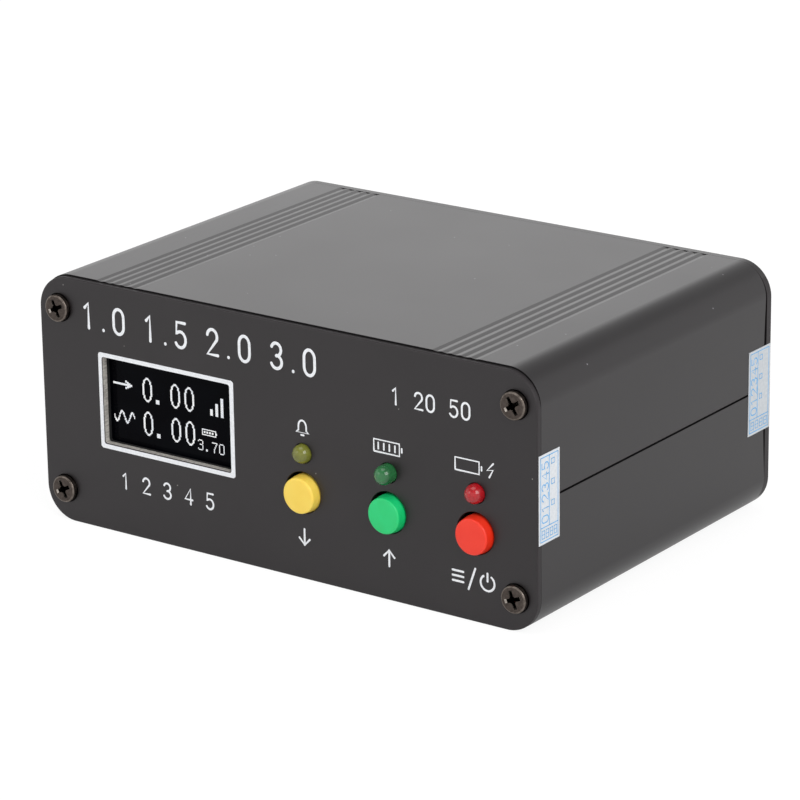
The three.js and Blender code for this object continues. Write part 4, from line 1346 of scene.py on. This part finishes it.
def past_a_surface(tree, path):
    """1 for a ray that was mirrored or let through on its way."""
    return add(tree, "ShaderNodeMath", {0: path.outputs["Is Glossy Ray"],
               1: path.outputs["Is Transmission Ray"]}, operation="MAXIMUM").outputs["Value"]


def make_floor():
    """White paper: nearly white to the camera, and a plain reflector for everything else."""
    bm = bmesh.new()
    bmesh.ops.create_grid(bm, x_segments=1, y_segments=1, size=6)
    floor = as_object(moved(bm, (0, 0, -FLOOR_DROP)), "floor")
    material = bpy.data.materials.new("white_paper_floor")
    material.use_nodes = True
    tree = material.node_tree
    tree.nodes.clear()

    def paper(reflected, glowing):
        """White paper, part of it lit from below, so that a shadow on it stays light."""
        top = add(tree, "ShaderNodeBsdfDiffuse", {"Color": (reflected,) * 3 + (1,)})
        below = add(tree, "ShaderNodeEmission", {"Color": (1, 1, 1, 1), "Strength": glowing})
        return add(tree, "ShaderNodeAddShader", {0: top.outputs[0], 1: below.outputs[0]}
                   ).outputs[0]

    path = add(tree, "ShaderNodeLightPath")
    mirrored = past_a_surface(tree, path)
    lit = add(tree, "ShaderNodeMixShader", {0: mirrored, 1: paper(0.8, 0.0),
                                            2: paper(0.53, 0.365)}).outputs[0]
    seen = add(tree, "ShaderNodeMixShader", {0: path.outputs["Is Camera Ray"], 1: lit,
                                             2: paper(0.13, 0.9)})
    add(tree, "ShaderNodeOutputMaterial", {"Surface": seen.outputs[0]})
    floor.data.materials.append(material)


def make_world():
    """White to the camera. In gloss, a white sweep that darkens above the horizon."""
    world = bpy.data.worlds.new("studio")
    bpy.context.scene.world = world
    world.use_nodes = True
    tree = world.node_tree
    tree.nodes.clear()
    direction = add(tree, "ShaderNodeTexCoord").outputs["Generated"]
    height = add(tree, "ShaderNodeSeparateXYZ", {"Vector": direction}).outputs["Z"]
    sweep = add(tree, "ShaderNodeMapRange", {"Value": height, "From Min": 0.44,
                "From Max": 0.6, "To Min": 1.0, "To Max": 0.45},
                interpolation_type="SMOOTHSTEP").outputs["Result"]
    path = add(tree, "ShaderNodeLightPath")
    shine = past_a_surface(tree, path)
    fill = add(tree, "ShaderNodeMix", {"Factor": shine, "A": 0.7, "B": sweep},
               data_type="FLOAT").outputs["Result"]
    level = add(tree, "ShaderNodeMix", {"Factor": path.outputs["Is Camera Ray"], "A": fill,
                "B": 1.0}, data_type="FLOAT").outputs["Result"]
    glow = add(tree, "ShaderNodeBackground", {"Color": (1, 1, 1, 1), "Strength": level})
    add(tree, "ShaderNodeOutputWorld", {"Surface": glow.outputs[0]})


def make_softbox(name, place, target, size, power):
    """A round softbox of a size in metres and a power in watts, aimed at a place."""
    light = bpy.data.lights.new(name, "AREA")
    light.shape = "DISK"
    light.size = size
    light.energy = power
    lamp = linked(name, light)
    lamp.location = place
    aim = Vector(target) - Vector(place)
    lamp.rotation_euler = aim.to_track_quat("-Z", "Y").to_euler()


def make_camera():
    """At the photograph's angle, with no shift."""
    data = bpy.data.cameras.new("camera")
    data.lens = CAMERA_LENS
    data.sensor_width = CAMERA_SENSOR
    data.clip_start = 0.01
    camera = linked("camera", data)
    up = CAMERA_RIGHT.cross(CAMERA_FORWARD)
    turn = Matrix((CAMERA_RIGHT, up, -CAMERA_FORWARD)).transposed().to_4x4()
    camera.matrix_world = Matrix.Translation(Vector(CAMERA_PLACE) * MM) @ turn
    bpy.context.scene.camera = camera


make_floor()
make_world()
make_softbox("overhead_softbox", (-0.1, -0.2, 1.2), (0, 0, 0.02), 0.9, 3.2)
make_softbox("front_softbox", (-0.7, -1.1, 0.6), (0, 0, 0.02), 0.5, 1.3)
make_softbox("side_softbox", (1.05, -0.45, 0.75), (0, 0, 0.02), 0.9, 9.0)
make_softbox("back_softbox", (-0.89, 1.23, 0.54), (0, 0, 0.03), 0.8, 0.6)
make_camera()

bpy.context.scene.view_settings.view_transform = "Standard"
